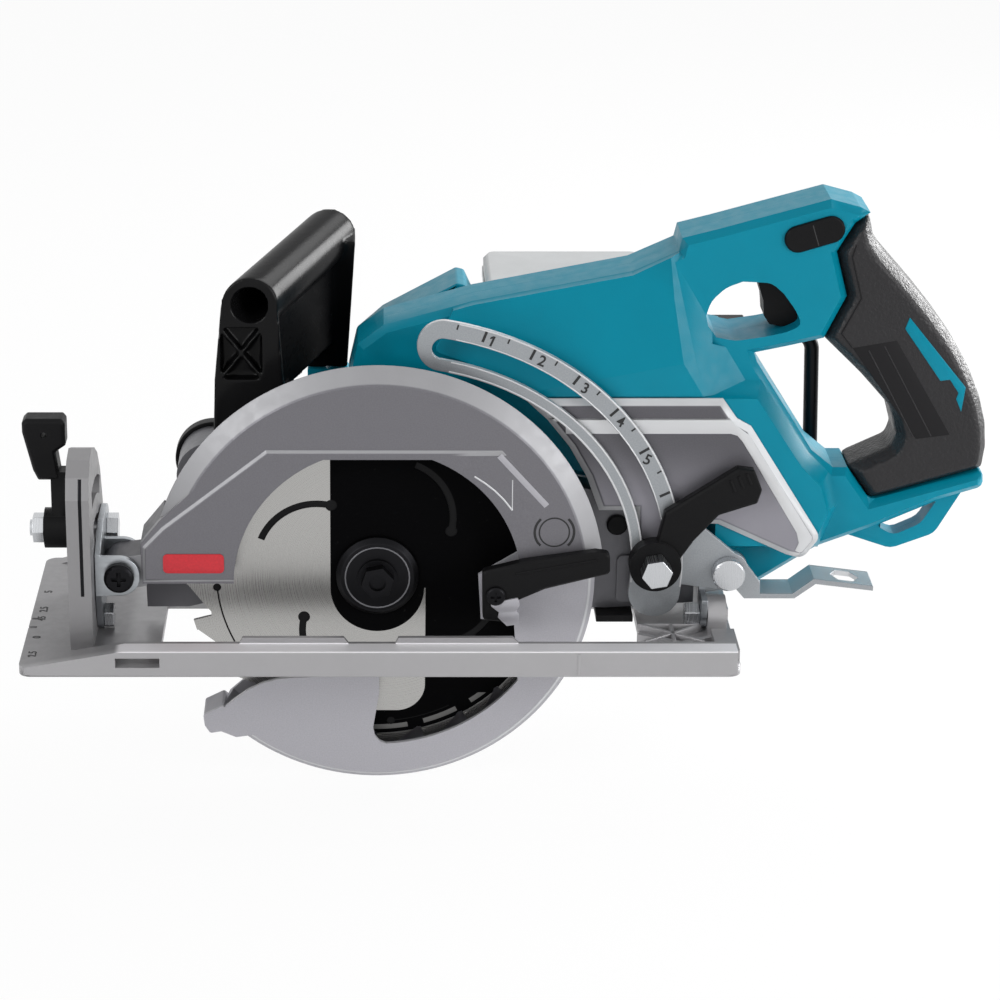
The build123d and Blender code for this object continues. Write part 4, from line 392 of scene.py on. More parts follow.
def moulded(name, colour, rough, grain, depth, shine=0.3):
    """Moulded plastic: a fine grain, a little unevenness in gloss and colour."""
    finish = Finish(name, Base_Color=colour, Roughness=rough, Specular_IOR_Level=shine)
    finish.feed("Base Color", finish.shaded(finish.noise(38, 3), colour, 0.93, 1.06))
    finish.roughen(finish.noise(160, 4), rough - 0.05, rough + 0.06)
    finish.bump(finish.noise(grain, 2), depth)


def cast(name, colour, rough, metal, grain, depth):
    """Cast or painted alloy: orange-peel relief and a slow change of tone."""
    finish = Finish(name, Base_Color=colour, Roughness=rough, Metallic=metal)
    finish.feed("Base Color", finish.shaded(finish.noise(22, 4), colour, 0.94, 1.06))
    finish.roughen(finish.noise(240, 3), rough - 0.04, rough + 0.05)
    finish.bump(finish.noise(grain, 3), depth)


def base_finish(colours):
    """Cast alloy of the base: its front end is painted darker, a painted shade, and the top of its
    rail is painted lighter and less metallic, a painted highlight.
    """
    colour = tuple(colours.base)
    metal = 0.5
    rail_top, rail_back = 0.0134, -0.0403
    finish = Finish("base_metal", Base_Color=colour, Roughness=0.42, Metallic=metal)
    across, depth, up = finish.axes()
    plain = finish.shaded(finish.noise(22, 4), colour, 0.94, 1.06)
    # Painted shade: the front end of the base is painted darker.
    front = (finish.spread(across, -0.124, -0.116, 1.0, 0.0)
             * finish.spread(depth, -0.049, -0.044, 0.0, 1.0))
    # Painted highlight: the top of the rail is painted lighter.
    rail = finish.spread(up, 0.0121, 0.0127, 0.0, 1.0) * (up < rail_top) * (depth < rail_back)
    front_painted_shade = finish.blend(front, plain, shade(colour, 0.7))
    finish.feed("Base Color", finish.blend(rail, front_painted_shade, shade(colour, 2.3)))
    finish.feed("Metallic", metal - rail * 0.3)
    finish.roughen(finish.noise(240, 3), 0.38, 0.47)
    finish.bump(finish.noise(1300, 3), 0.00003)


def handle_finish(colours):
    """Black moulded plastic, with a gloss on the front handle's bar and on its near end."""
    colour = tuple(colours.black)
    finish = Finish(
        "black_plastic", Base_Color=colour, Roughness=0.3, Specular_IOR_Level=0.006,
        Coat_Roughness=0.22)
    _, depth, up = finish.axes()
    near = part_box("front_handle")[0].y
    bar = finish.spread(up, 0.158, 0.176, 0.0, 0.26)
    end = finish.spread(depth, near + 0.004, near + 0.012, 0.22, 0.0)
    finish.feed("Base Color", finish.shaded(finish.noise(38, 3), colour, 0.93, 1.06))
    finish.roughen(finish.noise(160, 4), 0.25, 0.36)
    finish.feed("Coat Weight", bar.larger(end))
    finish.bump(finish.noise(1300, 2), 0.00002)


def bevelled(name, colour, edge, face, rim, metal, edge_metal, behind_shade=0.75, light_gradient=None, step=None):
    """Painted alloy whose bevels, between two depths in Y, are painted in the lighter edge colour,
    a painted highlight.

    Face and rim are those depths. The wall behind the rim is painted darker by a share, a painted
    shade.
    light_gradient gives two heights, between which the paint grows paler downwards, a painted
    gradient of light, and how much paler.
    Step gives the two depths of a bevel on the face, and the least Z or most X of its part that
    carries a painted highlight.
    """
    finish = Finish(name, Base_Color=colour, Roughness=0.42, Metallic=metal)
    across, depth, height = finish.axes()
    paint_and_light = finish.shaded(finish.noise(1500, 2), colour, 0.82, 1.2)
    # Painted gradient of light: the paint grows paler downwards.
    if light_gradient:
        low, high, paler = light_gradient
        paint_and_light = finish.blend(
            finish.spread(height, low, high, 1.0, 0.0), paint_and_light, shade(colour, paler))
    # Painted highlight on part of the step's bevel, in the edge colour.
    if step:
        near, far, least_z, most_x = step
        on_step = (finish.spread(depth, near, near + 0.0003, 0.0, 1.0)
                   * finish.spread(depth, far - 0.0001, far, 1.0, 0.0))
        shown = (height > least_z).larger(across < most_x)
        paint_and_light = finish.blend(on_step * shown, paint_and_light, edge)
    # Painted highlight in the edge colour on the bevels between face and rim, and painted shade on
    # the wall behind the rim.
    bright = finish.spread(depth, face, face + 0.0005, 0.0, 1.0)
    behind = finish.spread(depth, rim, rim + 0.0006, 0.0, 1.0)
    highlight_tone = finish.shaded(finish.noise(60, 3), edge, 0.9, 1.05)
    highlighted = finish.blend(bright, paint_and_light, highlight_tone)
    finish.feed("Base Color", finish.blend(behind, highlighted, shade(colour, behind_shade)))
    finish.roughen(finish.noise(240, 3), 0.4, 0.48)
    finish.feed("Metallic", bright * (edge_metal - metal) + metal)
    finish.bump(finish.noise(1200, 3), 0.00003)


def plated(name, colour, rough):
    """Plated sheet: faint crystals and rolling lines."""
    finish = Finish(name, Base_Color=colour, Roughness=rough, Metallic=1.0)
    crystal = finish.node("ShaderNodeTexVoronoi", {"feature": "F1"}, {
        "Vector": finish.place(), "Scale": 260.0}, "Color")
    grey = finish.node("ShaderNodeRGBToBW", {}, {0: crystal})
    finish.feed("Base Color", finish.shaded(grey, colour, 0.92, 1.05))
    finish.roughen(finish.noise(90, 3, (1, 1, 9)), rough - 0.06, rough + 0.08)
    finish.bump(finish.noise(700, 3), 0.00003)


def turned(name, colour, rough):
    """Turned or ground steel, with fine rings about the arbor."""
    finish = Finish(name, Base_Color=colour, Roughness=rough, Metallic=1.0)
    across, _, up = finish.axes()
    away = ((across - ARBOR.x) ** 2.0 + (up - ARBOR.z) ** 2.0) ** 0.5
    rings = finish.rings(away, 2600.0, 3.0)
    finish.feed("Base Color", finish.shaded(rings, colour, 0.85, 1.08))
    finish.roughen(rings, rough - 0.06, rough + 0.08)


def blade_finish(colours):
    """Brushed blade steel with a dark printed zone, and a ring of dashes in it."""
    hub_z, hub_radius = 0.0254, 0.0227
    corner_x, corner_down, corner_radius = 0.0094, 0.0255, 0.014
    lower_x, lower_z = 0.0234, -0.0395
    print_radius = 0.0842
    dash_inner, dash_outer, dash_top, dash_count = 0.0797, 0.0822, -0.03, 20.0
    finish = Finish(
        "blade_steel", Base_Color=tuple(colours.blade), Roughness=0.3, Metallic=1.0,
        Specular_IOR_Level=0.01)
    across, _, up = finish.axes()
    over = up - ARBOR.z
    away = (across ** 2.0 + over ** 2.0) ** 0.5
    rings = finish.rings(away, 3200.0, 4.0)
    steel = finish.shaded(rings, colours.blade, 0.8, 1.08)
    upper = (across > -hub_radius) * (up > hub_z)
    hub = (across ** 2.0 + (up - hub_z) ** 2.0) < hub_radius ** 2
    past_corner = (across - corner_x) ** 2.0 + (up + corner_down) ** 2.0 > corner_radius ** 2
    corner = (across > corner_x) * (up < -corner_down) * past_corner
    lower = (across > lower_x).larger(up < lower_z).larger(corner)
    inside = (away < print_radius) * (across > -hub_radius)
    on_dash = (over.angle_over(across) * dash_count).sine() > -0.55
    dashes = on_dash * (away > dash_inner) * (away < dash_outer) * (up < dash_top)
    printed = upper.larger(lower).larger(hub) * inside * (1.0 - dashes * 0.4)
    worn = finish.spread(finish.noise(420, 5), 0.66, 0.86, 1.0, 0.94)
    share = printed * worn
    finish.feed("Base Color", finish.blend(share, steel, tuple(colours.blade_print)))
    finish.feed("Metallic", 1.0 - share)
    finish.feed("Roughness", finish.spread(rings, 0.3, 0.7, 0.24, 0.36) + share * 0.12)
    finish.bump(rings, 0.000012)


def stacked(name, colour, pitch):
    """Stacked laminations: thin lines across Y."""
    finish = Finish(name, Base_Color=colour, Roughness=0.5, Metallic=0.8)
    _, along, _ = finish.axes()
    line = (along * (2 * pi / pitch)).sine()
    gap = finish.spread(line, 0.2, 0.9, 0.0, 1.0)
    finish.feed("Base Color", finish.blend(gap, colour, shade(colour, 0.5)))
    finish.roughen(finish.noise(300, 3), 0.42, 0.58)


def inked(name, colour, rough=0.5):
    """Printed or filled marks."""
    finish = Finish(name, Base_Color=colour, Roughness=rough)
    finish.feed("Base Color", finish.shaded(finish.noise(900, 3), colour, 0.8, 1.2))
    finish.roughen(finish.noise(500, 3), rough - 0.06, rough + 0.06)


def mix_finishes(scene):
    """Makes every finish once, from the colours in the panel."""
    colours = scene.saw_colours
    bright = tuple(colours.bright)
    moulded("teal_plastic", tuple(colours.body), 0.34, 1500, 0.00004, 0.16)
    handle_finish(colours)
    moulded("black_matte", shade(colours.black, 1.4), 0.44, 1500, 0.00006, 0.1)
    moulded("grip_rubber", tuple(colours.rubber), 0.42, 620, 0.0005, 0.32)
    moulded("grip_pad", shade(colours.rubber, 0.75), 0.5, 1500, 0.00003, 0.15)
    moulded("battery_grey", tuple(colours.battery), 0.4, 1600, 0.00005)
    # Bevelled finishes: painted highlights on the bevels, and on the case's step; painted shade on
    # the wall behind the rim; on the panel also a painted gradient of light, paler downwards.
    bevelled(
        "case_metal", tuple(colours.case), tuple(colours.edge), face=-0.0137, rim=-0.0088,
        metal=0.45, edge_metal=0.32, step=(-0.0153, -0.0141, 0.0984, -0.05))
    bevelled(
        "panel_metal", tuple(colours.panel), bright, face=0.0063, rim=0.012, metal=0.45,
        edge_metal=0.2, light_gradient=(0.058, 0.1, 2.7))
    bevelled(
        "link_zinc", shade(colours.zinc, 0.78), bright, face=0.0022, rim=0.02, metal=0.8,
        edge_metal=0.6)
    cast("guard_metal", tuple(colours.guard), 0.42, 0.4, 900, 0.00002)
    base_finish(colours)
    # Painted highlight on the lower guard's bevels, with no painted shade behind its rim.
    bevelled(
        "guard_edged", tuple(colours.guard), bright, face=-0.00995, rim=-0.0088, metal=0.4,
        edge_metal=0.25, behind_shade=1.0)
    cast("gear_metal", linear(112, 112, 116), 0.45, 0.5, 800, 0.00006)
    plated("zinc", tuple(colours.zinc), 0.34)
    turned("bolt_steel", linear(198, 200, 203), 0.28)
    turned("dark_steel", linear(34, 34, 36), 0.4)
    turned("bearing_steel", linear(205, 205, 206), 0.18)
    blade_finish(colours)
    stacked("core_steel", linear(150, 146, 142), 0.0011)
    moulded("cell", linear(92, 104, 122), 0.35, 900, 0.00002)
    inked("marks", tuple(colours.marks))
    inked("plate", tuple(colours.plate), 0.35)
    # Painted highlight: a lighter metal for raised lines along edges and on the case arrow.
    cast("bright_line", bright, 0.36, 0.35, 900, 0.00001)


def sizes():
    return bpy.context.scene.saw_sizes


def body_of(node):
    """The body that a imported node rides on."""
    for body, nodes in frame["record"]["behaviour"]["bodies"].items():
        if node in nodes:
            return body
    raise RuntimeError("no body carries " + node)


def link_object(name, data):
    piece = bpy.data.objects.new(name, data)
    bpy.context.scene.collection.objects.link(piece)
    return piece


def baked(piece, name):
    """The evaluated shape of a piece as a plain mesh in a new object. The first one is removed."""
    graph = bpy.context.evaluated_depsgraph_get()
    mesh = bpy.data.meshes.new_from_object(
        piece.evaluated_get(graph), preserve_all_data_layers=True, depsgraph=graph)
    bpy.data.objects.remove(piece)
    mesh.name = name
    return link_object(name, mesh)


def settle(piece, finish, body):
    """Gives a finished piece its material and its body."""
    piece.data.materials.clear()
    piece.data.materials.append(finishes[finish])
    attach(piece, body)


def smooth(mesh, angle=SHARP_ANGLE):
    mesh.shade_smooth()
    mesh.set_sharp_from_angle(angle=radians(angle))


def merged_copy(node, name):
    """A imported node's shape with its triangles merged and its flat faces whole."""
    mesh = frame["nodes"][node].data.copy()
    work = bmesh.new()
    work.from_mesh(mesh)
    bmesh.ops.remove_doubles(work, verts=work.verts, dist=2e-6)
    bmesh.ops.dissolve_degenerate(work, edges=work.edges, dist=1e-5)
    bmesh.ops.dissolve_limit(
        work, angle_limit=radians(0.8), verts=work.verts, edges=work.edges,
        use_dissolve_boundaries=False)
    work.to_mesh(mesh)
    work.free()
    return link_object(name, mesh)


def mark_edges(mesh, edge, angle, through=False):
    """Marks the sharp edges that have room for an eased edge, and says how many there are.

    Through takes only the edges that run along Y, from the near side to the far side.
    """
    work = bmesh.new()
    work.from_mesh(mesh)
    layers = work.edges.layers.float
    weight = layers.get("bevel_weight_edge") or layers.new("bevel_weight_edge")
    found = 0
    for line in work.edges:
        line[weight] = 0.0
        if len(line.link_faces) != 2 or line.calc_face_angle(0.0) < radians(angle):
            continue
        run = line.verts[1].co - line.verts[0].co
        if through and abs(run.y) < THROUGH_SHARE * run.length:
            continue
        beside = [other.calc_length() for end in line.verts for other in end.link_edges]
        if min(beside) > EDGE_ROOM * edge:
            line[weight] = 1.0
            found += 1
    work.to_mesh(mesh)
    work.free()
    return found


def ease_edges(piece, width, steps):
    """Rounds the marked edges of a piece."""
    ease = piece.modifiers.new("ease", "BEVEL")
    ease.width = width
    ease.segments = steps
    ease.limit_method = "WEIGHT"
    ease.use_clamp_overlap = True
    ease.harden_normals = False


def dress(node, slot, edge, steps=2, angle=EDGE_ANGLE, finish=None, corner=0.0):
    """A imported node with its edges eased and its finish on, standing for the node.

    Corner rounds the edges along Y first, so that outlines and openings lose their corners.
    """
    piece = merged_copy(node, node + "_blank")
    if corner and mark_edges(piece.data, corner, CORNER_ANGLE, True):
        ease_edges(piece, corner, 2)
        piece = baked(piece, node + "_round")
    if mark_edges(piece.data, edge, angle):
        ease_edges(piece, edge, steps)
    smooth(piece.data)
    weigh = piece.modifiers.new("weigh", "WEIGHTED_NORMAL")
    weigh.keep_sharp = True
    piece = baked(piece, node + "_dressed")
    settle(piece, finish or slot, body_of(node))
    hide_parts(node)


def soften(node, slot, grain, rounds):
    """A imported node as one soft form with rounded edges, standing for the node."""
    piece = merged_copy(node, node + "_blank")
    skin = piece.modifiers.new("skin", "REMESH")
    skin.mode = "VOXEL"
    skin.voxel_size = grain
    ease = piece.modifiers.new("ease", "SMOOTH")
    ease.factor = 0.5
    ease.iterations = rounds
    piece = baked(piece, node + "_dressed")
    piece.data.shade_smooth()
    settle(piece, slot, body_of(node))
    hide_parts(node)


def paint(node, slot):
    """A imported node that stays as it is, with its finish on."""
    piece = frame["nodes"][node]
    if not piece.material_slots:
        piece.data.materials.append(finishes[slot])
    for holder in piece.material_slots:
        holder.link = "OBJECT"
        holder.material = finishes[slot]


def slab(work, corners, move):
    """Adds a closed slab to a bmesh: a face through the corners, its copy moved away, and sides."""
    ring = [work.verts.new(corner) for corner in corners]
    moved = [work.verts.new(vert.co + Vector(move)) for vert in ring]
    work.faces.new(ring)
    work.faces.new(moved[::-1])
    for i in range(len(ring)):
        work.faces.new((ring[i], ring[i - 1], moved[i - 1], moved[i]))


def outward_mesh(work, name):
    """A finished bmesh as a mesh whose faces point outwards."""
    bmesh.ops.recalc_face_normals(work, faces=work.faces)
    mesh = bpy.data.meshes.new(name)
    work.to_mesh(mesh)
    work.free()
    return mesh


def finished(name, work, edge, finish, body):
    """A bmesh as a piece, with its edges eased and its finish on."""
    piece = link_object(name, outward_mesh(work, name))
    if edge:
        ease = piece.modifiers.new("ease", "BEVEL")
        ease.width = edge
        ease.segments = 2
        piece = baked(piece, name)
    smooth(piece.data)
    settle(piece, finish, body)


def solid(name, outline, y, height, finish, body, edge=0.0):
    """A thin plate on a face towards the camera. The outline is in X and Z, all in metres."""
    work = bmesh.new()
    slab(work, [(x, y, z) for x, z in outline], (0, -height, 0))
    finished(name, work, edge, finish, body)


def walls(name, lines, width, up, finish, body):
    """Upright ribs on a deck, one for each line in X and Y, in millimetres."""
    work = bmesh.new()
    for start, end in lines:
        run = Vector((end[0] - start[0], end[1] - start[1])).normalized()
        side = Vector((-run.y, run.x)) * width / 2
        corners = [
            ((x + share * side.x) * MM, (y + share * side.y) * MM, up[0] * MM)
            for (x, y), share in ((start, 1), (start, -1), (end, -1), (end, 1))]
        slab(work, corners, (0, 0, (up[1] - up[0]) * MM))
    finished(name, work, 0.4 * MM, finish, body)


def belt(name, across, along, up, corner, depth, finish, body):
    """A thin band round three sides of an upright box, open on its near side.

    Its ends in X, Y and Z are in metres.
    """
    sides = []
    for inset in (0.0, depth):
        left, right, far = across[0] + inset, across[1] - inset, along[1] - inset
        bend = corner - inset
        sides.append(
            [(right, along[0])] + arc_points((right - bend, far - bend), bend, 0, 90, 6)
            + arc_points((left + bend, far - bend), bend, 90, 90, 6) + [(left, along[0])])
    work = bmesh.new()
    slab(work, [(x, y, up[0]) for x, y in sides[0] + sides[1][::-1]], (0, 0, up[1] - up[0]))
    finished(name, work, 0.0, finish, body)


def arc_points(centre, radius, start, sweep, count):
    """Points on an arc, from one angle through another, in degrees."""
    return [
        (centre[0] + radius * cos(radians(start + sweep * i / count)),
         centre[1] + radius * sin(radians(start + sweep * i / count)))
        for i in range(count + 1)]


def band(centre, inner, outer, start, sweep, count):
    """The outline of a part of a ring."""
    far = arc_points(centre, outer, start, sweep, count)
    near = arc_points(centre, inner, start, sweep, count)
    return far + near[::-1]


def rounded(centre, half, corner):
    """The outline of a plate with rounded corners, from its half width and half height."""
    outline = []
    for x, z, turn in ((1, 1, 0), (-1, 1, 90), (-1, -1, 180), (1, -1, 270)):
        spot = (centre[0] + x * (half[0] - corner), centre[1] + z * (half[1] - corner))
        outline += arc_points(spot, corner, turn, 90, 5)
    return outline


def millimetres(points):
    return [(x * MM, z * MM) for x, z in points]


def new_tree(name, inputs, output):
    """A geometry tree with named inputs and one output, and the nodes at its two ends."""
    tree = bpy.data.node_groups.new(name, "GeometryNodeTree")
    for label, kind in inputs:
        tree.interface.new_socket(label, in_out="INPUT", socket_type="NodeSocket" + kind)
    tree.interface.new_socket(output, in_out="OUTPUT", socket_type="NodeSocketGeometry")
    return tree, tree.nodes.new("NodeGroupInput"), tree.nodes.new("NodeGroupOutput")


def end_tree(tree, shape, source, result):
    """Ends a tree with real shapes that carry the finish given to it."""
    real = tree.nodes.new("GeometryNodeRealizeInstances")
    coat = tree.nodes.new("GeometryNodeSetMaterial")
    tree.links.new(shape, real.inputs["Geometry"])
    tree.links.new(real.outputs["Geometry"], coat.inputs["Geometry"])
    tree.links.new(source.outputs["Finish"], coat.inputs["Material"])
    tree.links.new(coat.outputs["Geometry"], result.inputs[0])


def marks_tree(name):
    """A tree that sets equal blocks along a path, turned with it about Y."""
    tree, source, result = new_tree(name, (
        ("Path", "Geometry"), ("Count", "Int"), ("Along", "Float"), ("Across", "Float"),
        ("Height", "Float"), ("Finish", "Material")), "Marks")
    add = tree.nodes.new
    link = tree.links.new
    path = add("GeometryNodeMeshToCurve")
    spaced = add("GeometryNodeResampleCurve")
    size = add("ShaderNodeCombineXYZ")
    block = add("GeometryNodeMeshCube")
    tangent = add("GeometryNodeInputTangent")
    turn = add("FunctionNodeAlignRotationToVector")
    turn.axis = "X"
    turn.pivot_axis = "Y"
    copies = add("GeometryNodeInstanceOnPoints")
    link(source.outputs["Path"], path.inputs["Mesh"])
    link(path.outputs["Curve"], spaced.inputs["Curve"])
    link(source.outputs["Count"], spaced.inputs["Count"])
    link(source.outputs["Along"], size.inputs["X"])
    link(source.outputs["Across"], size.inputs["Z"])
    link(source.outputs["Height"], size.inputs["Y"])
    link(size.outputs[0], block.inputs["Size"])
    link(tangent.outputs[0], turn.inputs["Vector"])
    link(spaced.outputs["Curve"], copies.inputs["Points"])
    link(block.outputs["Mesh"], copies.inputs["Instance"])
    link(turn.outputs["Rotation"], copies.inputs["Rotation"])
    end_tree(tree, copies.outputs["Instances"], source, result)
    return tree


def rib_tree(name):
    """A tree that draws a low rounded rib along a path on a face towards the camera."""
    tree, source, result = new_tree(name, (
        ("Path", "Geometry"), ("Width", "Float"), ("Height", "Float"),
        ("Finish", "Material")), "Rib")
    add = tree.nodes.new
    link = tree.links.new
    path = add("GeometryNodeMeshToCurve")
    upright = add("GeometryNodeSetCurveNormal")
    upright.mode = "FREE"
    upright.inputs["Normal"].default_value = (0, -1, 0)
    circle = add("GeometryNodeCurvePrimitiveCircle")
    circle.inputs["Resolution"].default_value = 10
    circle.inputs["Radius"].default_value = 1.0
    half = add("ShaderNodeMath")
    half.operation = "MULTIPLY"
    half.inputs[1].default_value = 0.5
    size = add("ShaderNodeCombineXYZ")
    size.inputs["Z"].default_value = 1.0
    profile = add("GeometryNodeTransform")
    sweep = add("GeometryNodeCurveToMesh")
    sweep.inputs["Fill Caps"].default_value = True
    link(source.outputs["Path"], path.inputs["Mesh"])
    link(path.outputs["Curve"], upright.inputs["Curve"])
    link(source.outputs["Width"], half.inputs[0])
    link(source.outputs["Height"], size.inputs["X"])
    link(half.outputs[0], size.inputs["Y"])
    link(circle.outputs["Curve"], profile.inputs["Geometry"])
    link(size.outputs[0], profile.inputs["Scale"])
    link(upright.outputs["Curve"], sweep.inputs["Curve"])
    link(profile.outputs["Geometry"], sweep.inputs["Profile Curve"])
    end_tree(tree, sweep.outputs["Mesh"], source, result)
    return tree


def along_path(name, points, closed, tree, values):
    """What a tree makes along a path, as a plain mesh in a new object."""
    edges = [(i, i + 1) for i in range(len(points) - 1)]
    if closed:
        edges.append((len(points) - 1, 0))
    mesh = bpy.data.meshes.new(name + "_path")
    mesh.from_pydata(points, edges, [])
    piece = link_object(name + "_path", mesh)
    rule = piece.modifiers.new("rule", "NODES")
    rule.node_group = tree
    for item in tree.interface.items_tree:
        if item.in_out == "INPUT" and item.name in values:
            rule[item.identifier] = values[item.name]
    return baked(piece, name)


def marks_along(name, points, count, along, across, height, finish, body):
    """Equal blocks along a path on a face that looks along Y, as one plain mesh."""
    tree = bpy.data.node_groups.get("marks_on_face") or marks_tree("marks_on_face")
    piece = along_path(name, points, False, tree, {
        "Count": count, "Along": along, "Across": across, "Height": height,
        "Finish": finishes[finish]})
    settle(piece, finish, body)


def near_face(node):
    """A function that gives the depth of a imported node's near face at a place in X and Z."""
    mesh = frame["nodes"][node].data
    tree = BVHTree.FromPolygons(
        [spot.co for spot in mesh.vertices], [face.vertices for face in mesh.polygons])

    def depth(x, z):
        spot = tree.ray_cast(Vector((x, -1.0, z)), Vector((0, 1, 0)))[0]
        if spot is None:
            raise RuntimeError("no face of " + node + " there")
        return spot.y
    return depth


def rib(name, points, width, height, node, finish, closed=False):
    """A low rib on a node's near face, along a path in X and Z in metres."""
    tree = bpy.data.node_groups.get("rib_on_face") or rib_tree("rib_on_face")
    depth = near_face(node)
    piece = along_path(name, [(x, depth(x, z), z) for x, z in points], closed, tree, {
        "Width": width, "Height": height, "Finish": finishes[finish]})
    smooth(piece.data, 50)
    settle(piece, finish, body_of(node))


def figure_one(size, thickness):
    """The number 1, with its flag, as a mesh in its own plane."""
    work = bmesh.new()
    slab(work, [(x * size, y * size, -thickness / 2) for x, y in FIGURE_ONE], (0, 0, thickness))
    return outward_mesh(work, "one")


def number_mesh(text, size, thickness):
    """A number as a mesh in its own plane, centred."""
    if text == "1":
        return figure_one(size, thickness)
    curve = bpy.data.curves.new("number", "FONT")
    curve.body = text
    curve.size = size
    curve.align_x = "CENTER"
    curve.align_y = "CENTER"
    curve.extrude = thickness / 2
    curve.offset = size * 0.018
    curve.resolution_u = 3
    holder = link_object("number", curve)
    graph = bpy.context.evaluated_depsgraph_get()
    mesh = bpy.data.meshes.new_from_object(holder.evaluated_get(graph), depsgraph=graph)
    bpy.data.objects.remove(holder)
    return mesh


def numbers(name, items, size, finish, body):
    """Several numbers as one piece. Each item has a text and the matrix that places it."""
    whole = bmesh.new()
    for text, place in items:
        mesh = number_mesh(text, size, sizes().mark_height)
        mesh.transform(place)
        whole.from_mesh(mesh)
        bpy.data.meshes.remove(mesh)
    mesh = bpy.data.meshes.new(name)
    whole.to_mesh(mesh)
    whole.free()
    settle(link_object(name, mesh), finish, body)


def swung(point, centre, angle):
    """A point in X and Z turned about a centre, in degrees."""
    a = radians(angle)
    x = point[0] - centre[0]
    z = point[1] - centre[1]
    return centre[0] + x * cos(a) - z * sin(a), centre[1] + x * sin(a) + z * cos(a)


def link_middle(angle):
    """A point on the middle line of the depth link's slot, in millimetres."""
    return swung(swung(CLAMP_POINT, DEPTH_PIVOT, angle), LINK_PIN, LINK_RATIO * angle)


def link_side(angle, out):
    """A point at a distance outside the link's middle line, in millimetres."""
    here = link_middle(angle)
    before = link_middle(angle - 0.5)
    after = link_middle(angle + 0.5)
    run = Vector((after[0] - before[0], after[1] - before[1])).normalized()
    side = Vector((run.y, -run.x))
    return here[0] + side.x * out, here[1] + side.y * out


class SAW_OT_case(bpy.types.Operator):
    """Dress the blade case, its marks and its plate"""

    bl_idname = "saw.case"
    bl_label = "Blade case"

    def execute(self, context):
        low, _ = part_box("blade_case")
        dress("blade_case", "case_metal", sizes().cast_edge, 3)
        centre = millimetres([RING_CENTRE])[0]
        rear, front = [arc_points(centre, 9.4 * MM, start, 92, 20) for start in (-46, 134)]
        inner = arc_points(centre, 7.2 * MM, 0, 350, 35)
        for name, line, width, height, finish, closed in (
                ("case_ring_rear", rear, 1.3, 0.14, "marks", False),
                ("case_ring_front", front, 1.3, 0.14, "marks", False),
                ("case_ring", inner, 0.8, 0.14, "marks", True),
                # The arrow lines carry a painted highlight.
                ("case_arrow_sweep", millimetres(ARROW_SWEEP), 0.9, 0.3, "bright_line", False),
                # The step line is a real raised line in a lighter metal, a painted highlight.
                ("case_step", millimetres(CASE_STEP), 3.0, 0.3, "guard_metal", False),
                ("case_arrow_side", millimetres(ARROW_SIDE), 0.5, 0.16, "bright_line", False)):
            rib(name, line, width * MM, height * MM, "blade_case", finish, closed)
        outline = millimetres(rounded(PLATE_CENTRE, PLATE_HALF, PLATE_CORNER))
        solid("case_plate", outline, low.y, 0.5 * MM, "plate", "housing", 0.2 * MM)
        return {"FINISHED"}


class SAW_OT_blade(bpy.types.Operator):
    """Dress the blade, its flanges, its bolt and its spindle"""

    bl_idname = "saw.blade"
    bl_label = "Blade"

    def execute(self, context):
        paint("blade", "blade_steel")
        low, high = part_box("blade")
        centre = (ARBOR.x, ARBOR.z)
        thick = 0.5 * MM
        # Painted shade: a dark ring inside the blade's thickness closes its slots, standing for the
        # shade seen through them.
        ring = band(centre, 30 * MM, 80 * MM, 0, 359.8, 96)
        solid("blade_slot_fill", ring, (low.y + high.y) / 2 + thick / 2, thick, "black_matte",
              body_of("blade"))
        dress("outer_flange", "dark_steel", 0.3 * MM)
        dress("blade_bolt", "dark_steel", 0.3 * MM)
        # A raised ring on the outer flange in a lighter metal: partly its real ring, partly a
        # painted highlight.
        rib("flange_ring", arc_points(centre, 15.5 * MM, 0, 350, 35), 0.7 * MM, 0.15 * MM,
            "outer_flange", "gear_metal", True)
        paint("inner_flange", "dark_steel")
        paint("spindle", "bearing_steel")
        paint("drive_gear", "bearing_steel")
        return {"FINISHED"}


class SAW_OT_guard(bpy.types.Operator):
    """Dress the lower guard, its lever and the lever's screw"""

    bl_idname = "saw.guard"
    bl_label = "Lower guard"

    def execute(self, context):
        dress("lower_guard", "guard_metal", sizes().cast_edge, 3, finish="guard_edged")
        dress("guard_lever", "black_matte", 0.7 * MM, 3)
        dress("guard_lever_screw", "bolt_steel", 0.15 * MM, finish="dark_steel")
        rib("guard_lever_ridge", millimetres(GUARD_RIDGE), 1.4 * MM, 0.5 * MM, "guard_lever",
            "black_matte")
        body = body_of("guard_lever")
        back = -16.5
        for name, front, outline in (
                ("guard_lug_plate", -22.9, LUG_PLATE), ("guard_lug_foot", -22.3, LUG_FOOT)):
            solid(name, millimetres(outline), back * MM, (back - front) * MM, "guard_metal", body,
                  0.3 * MM)
        return {"FINISHED"}


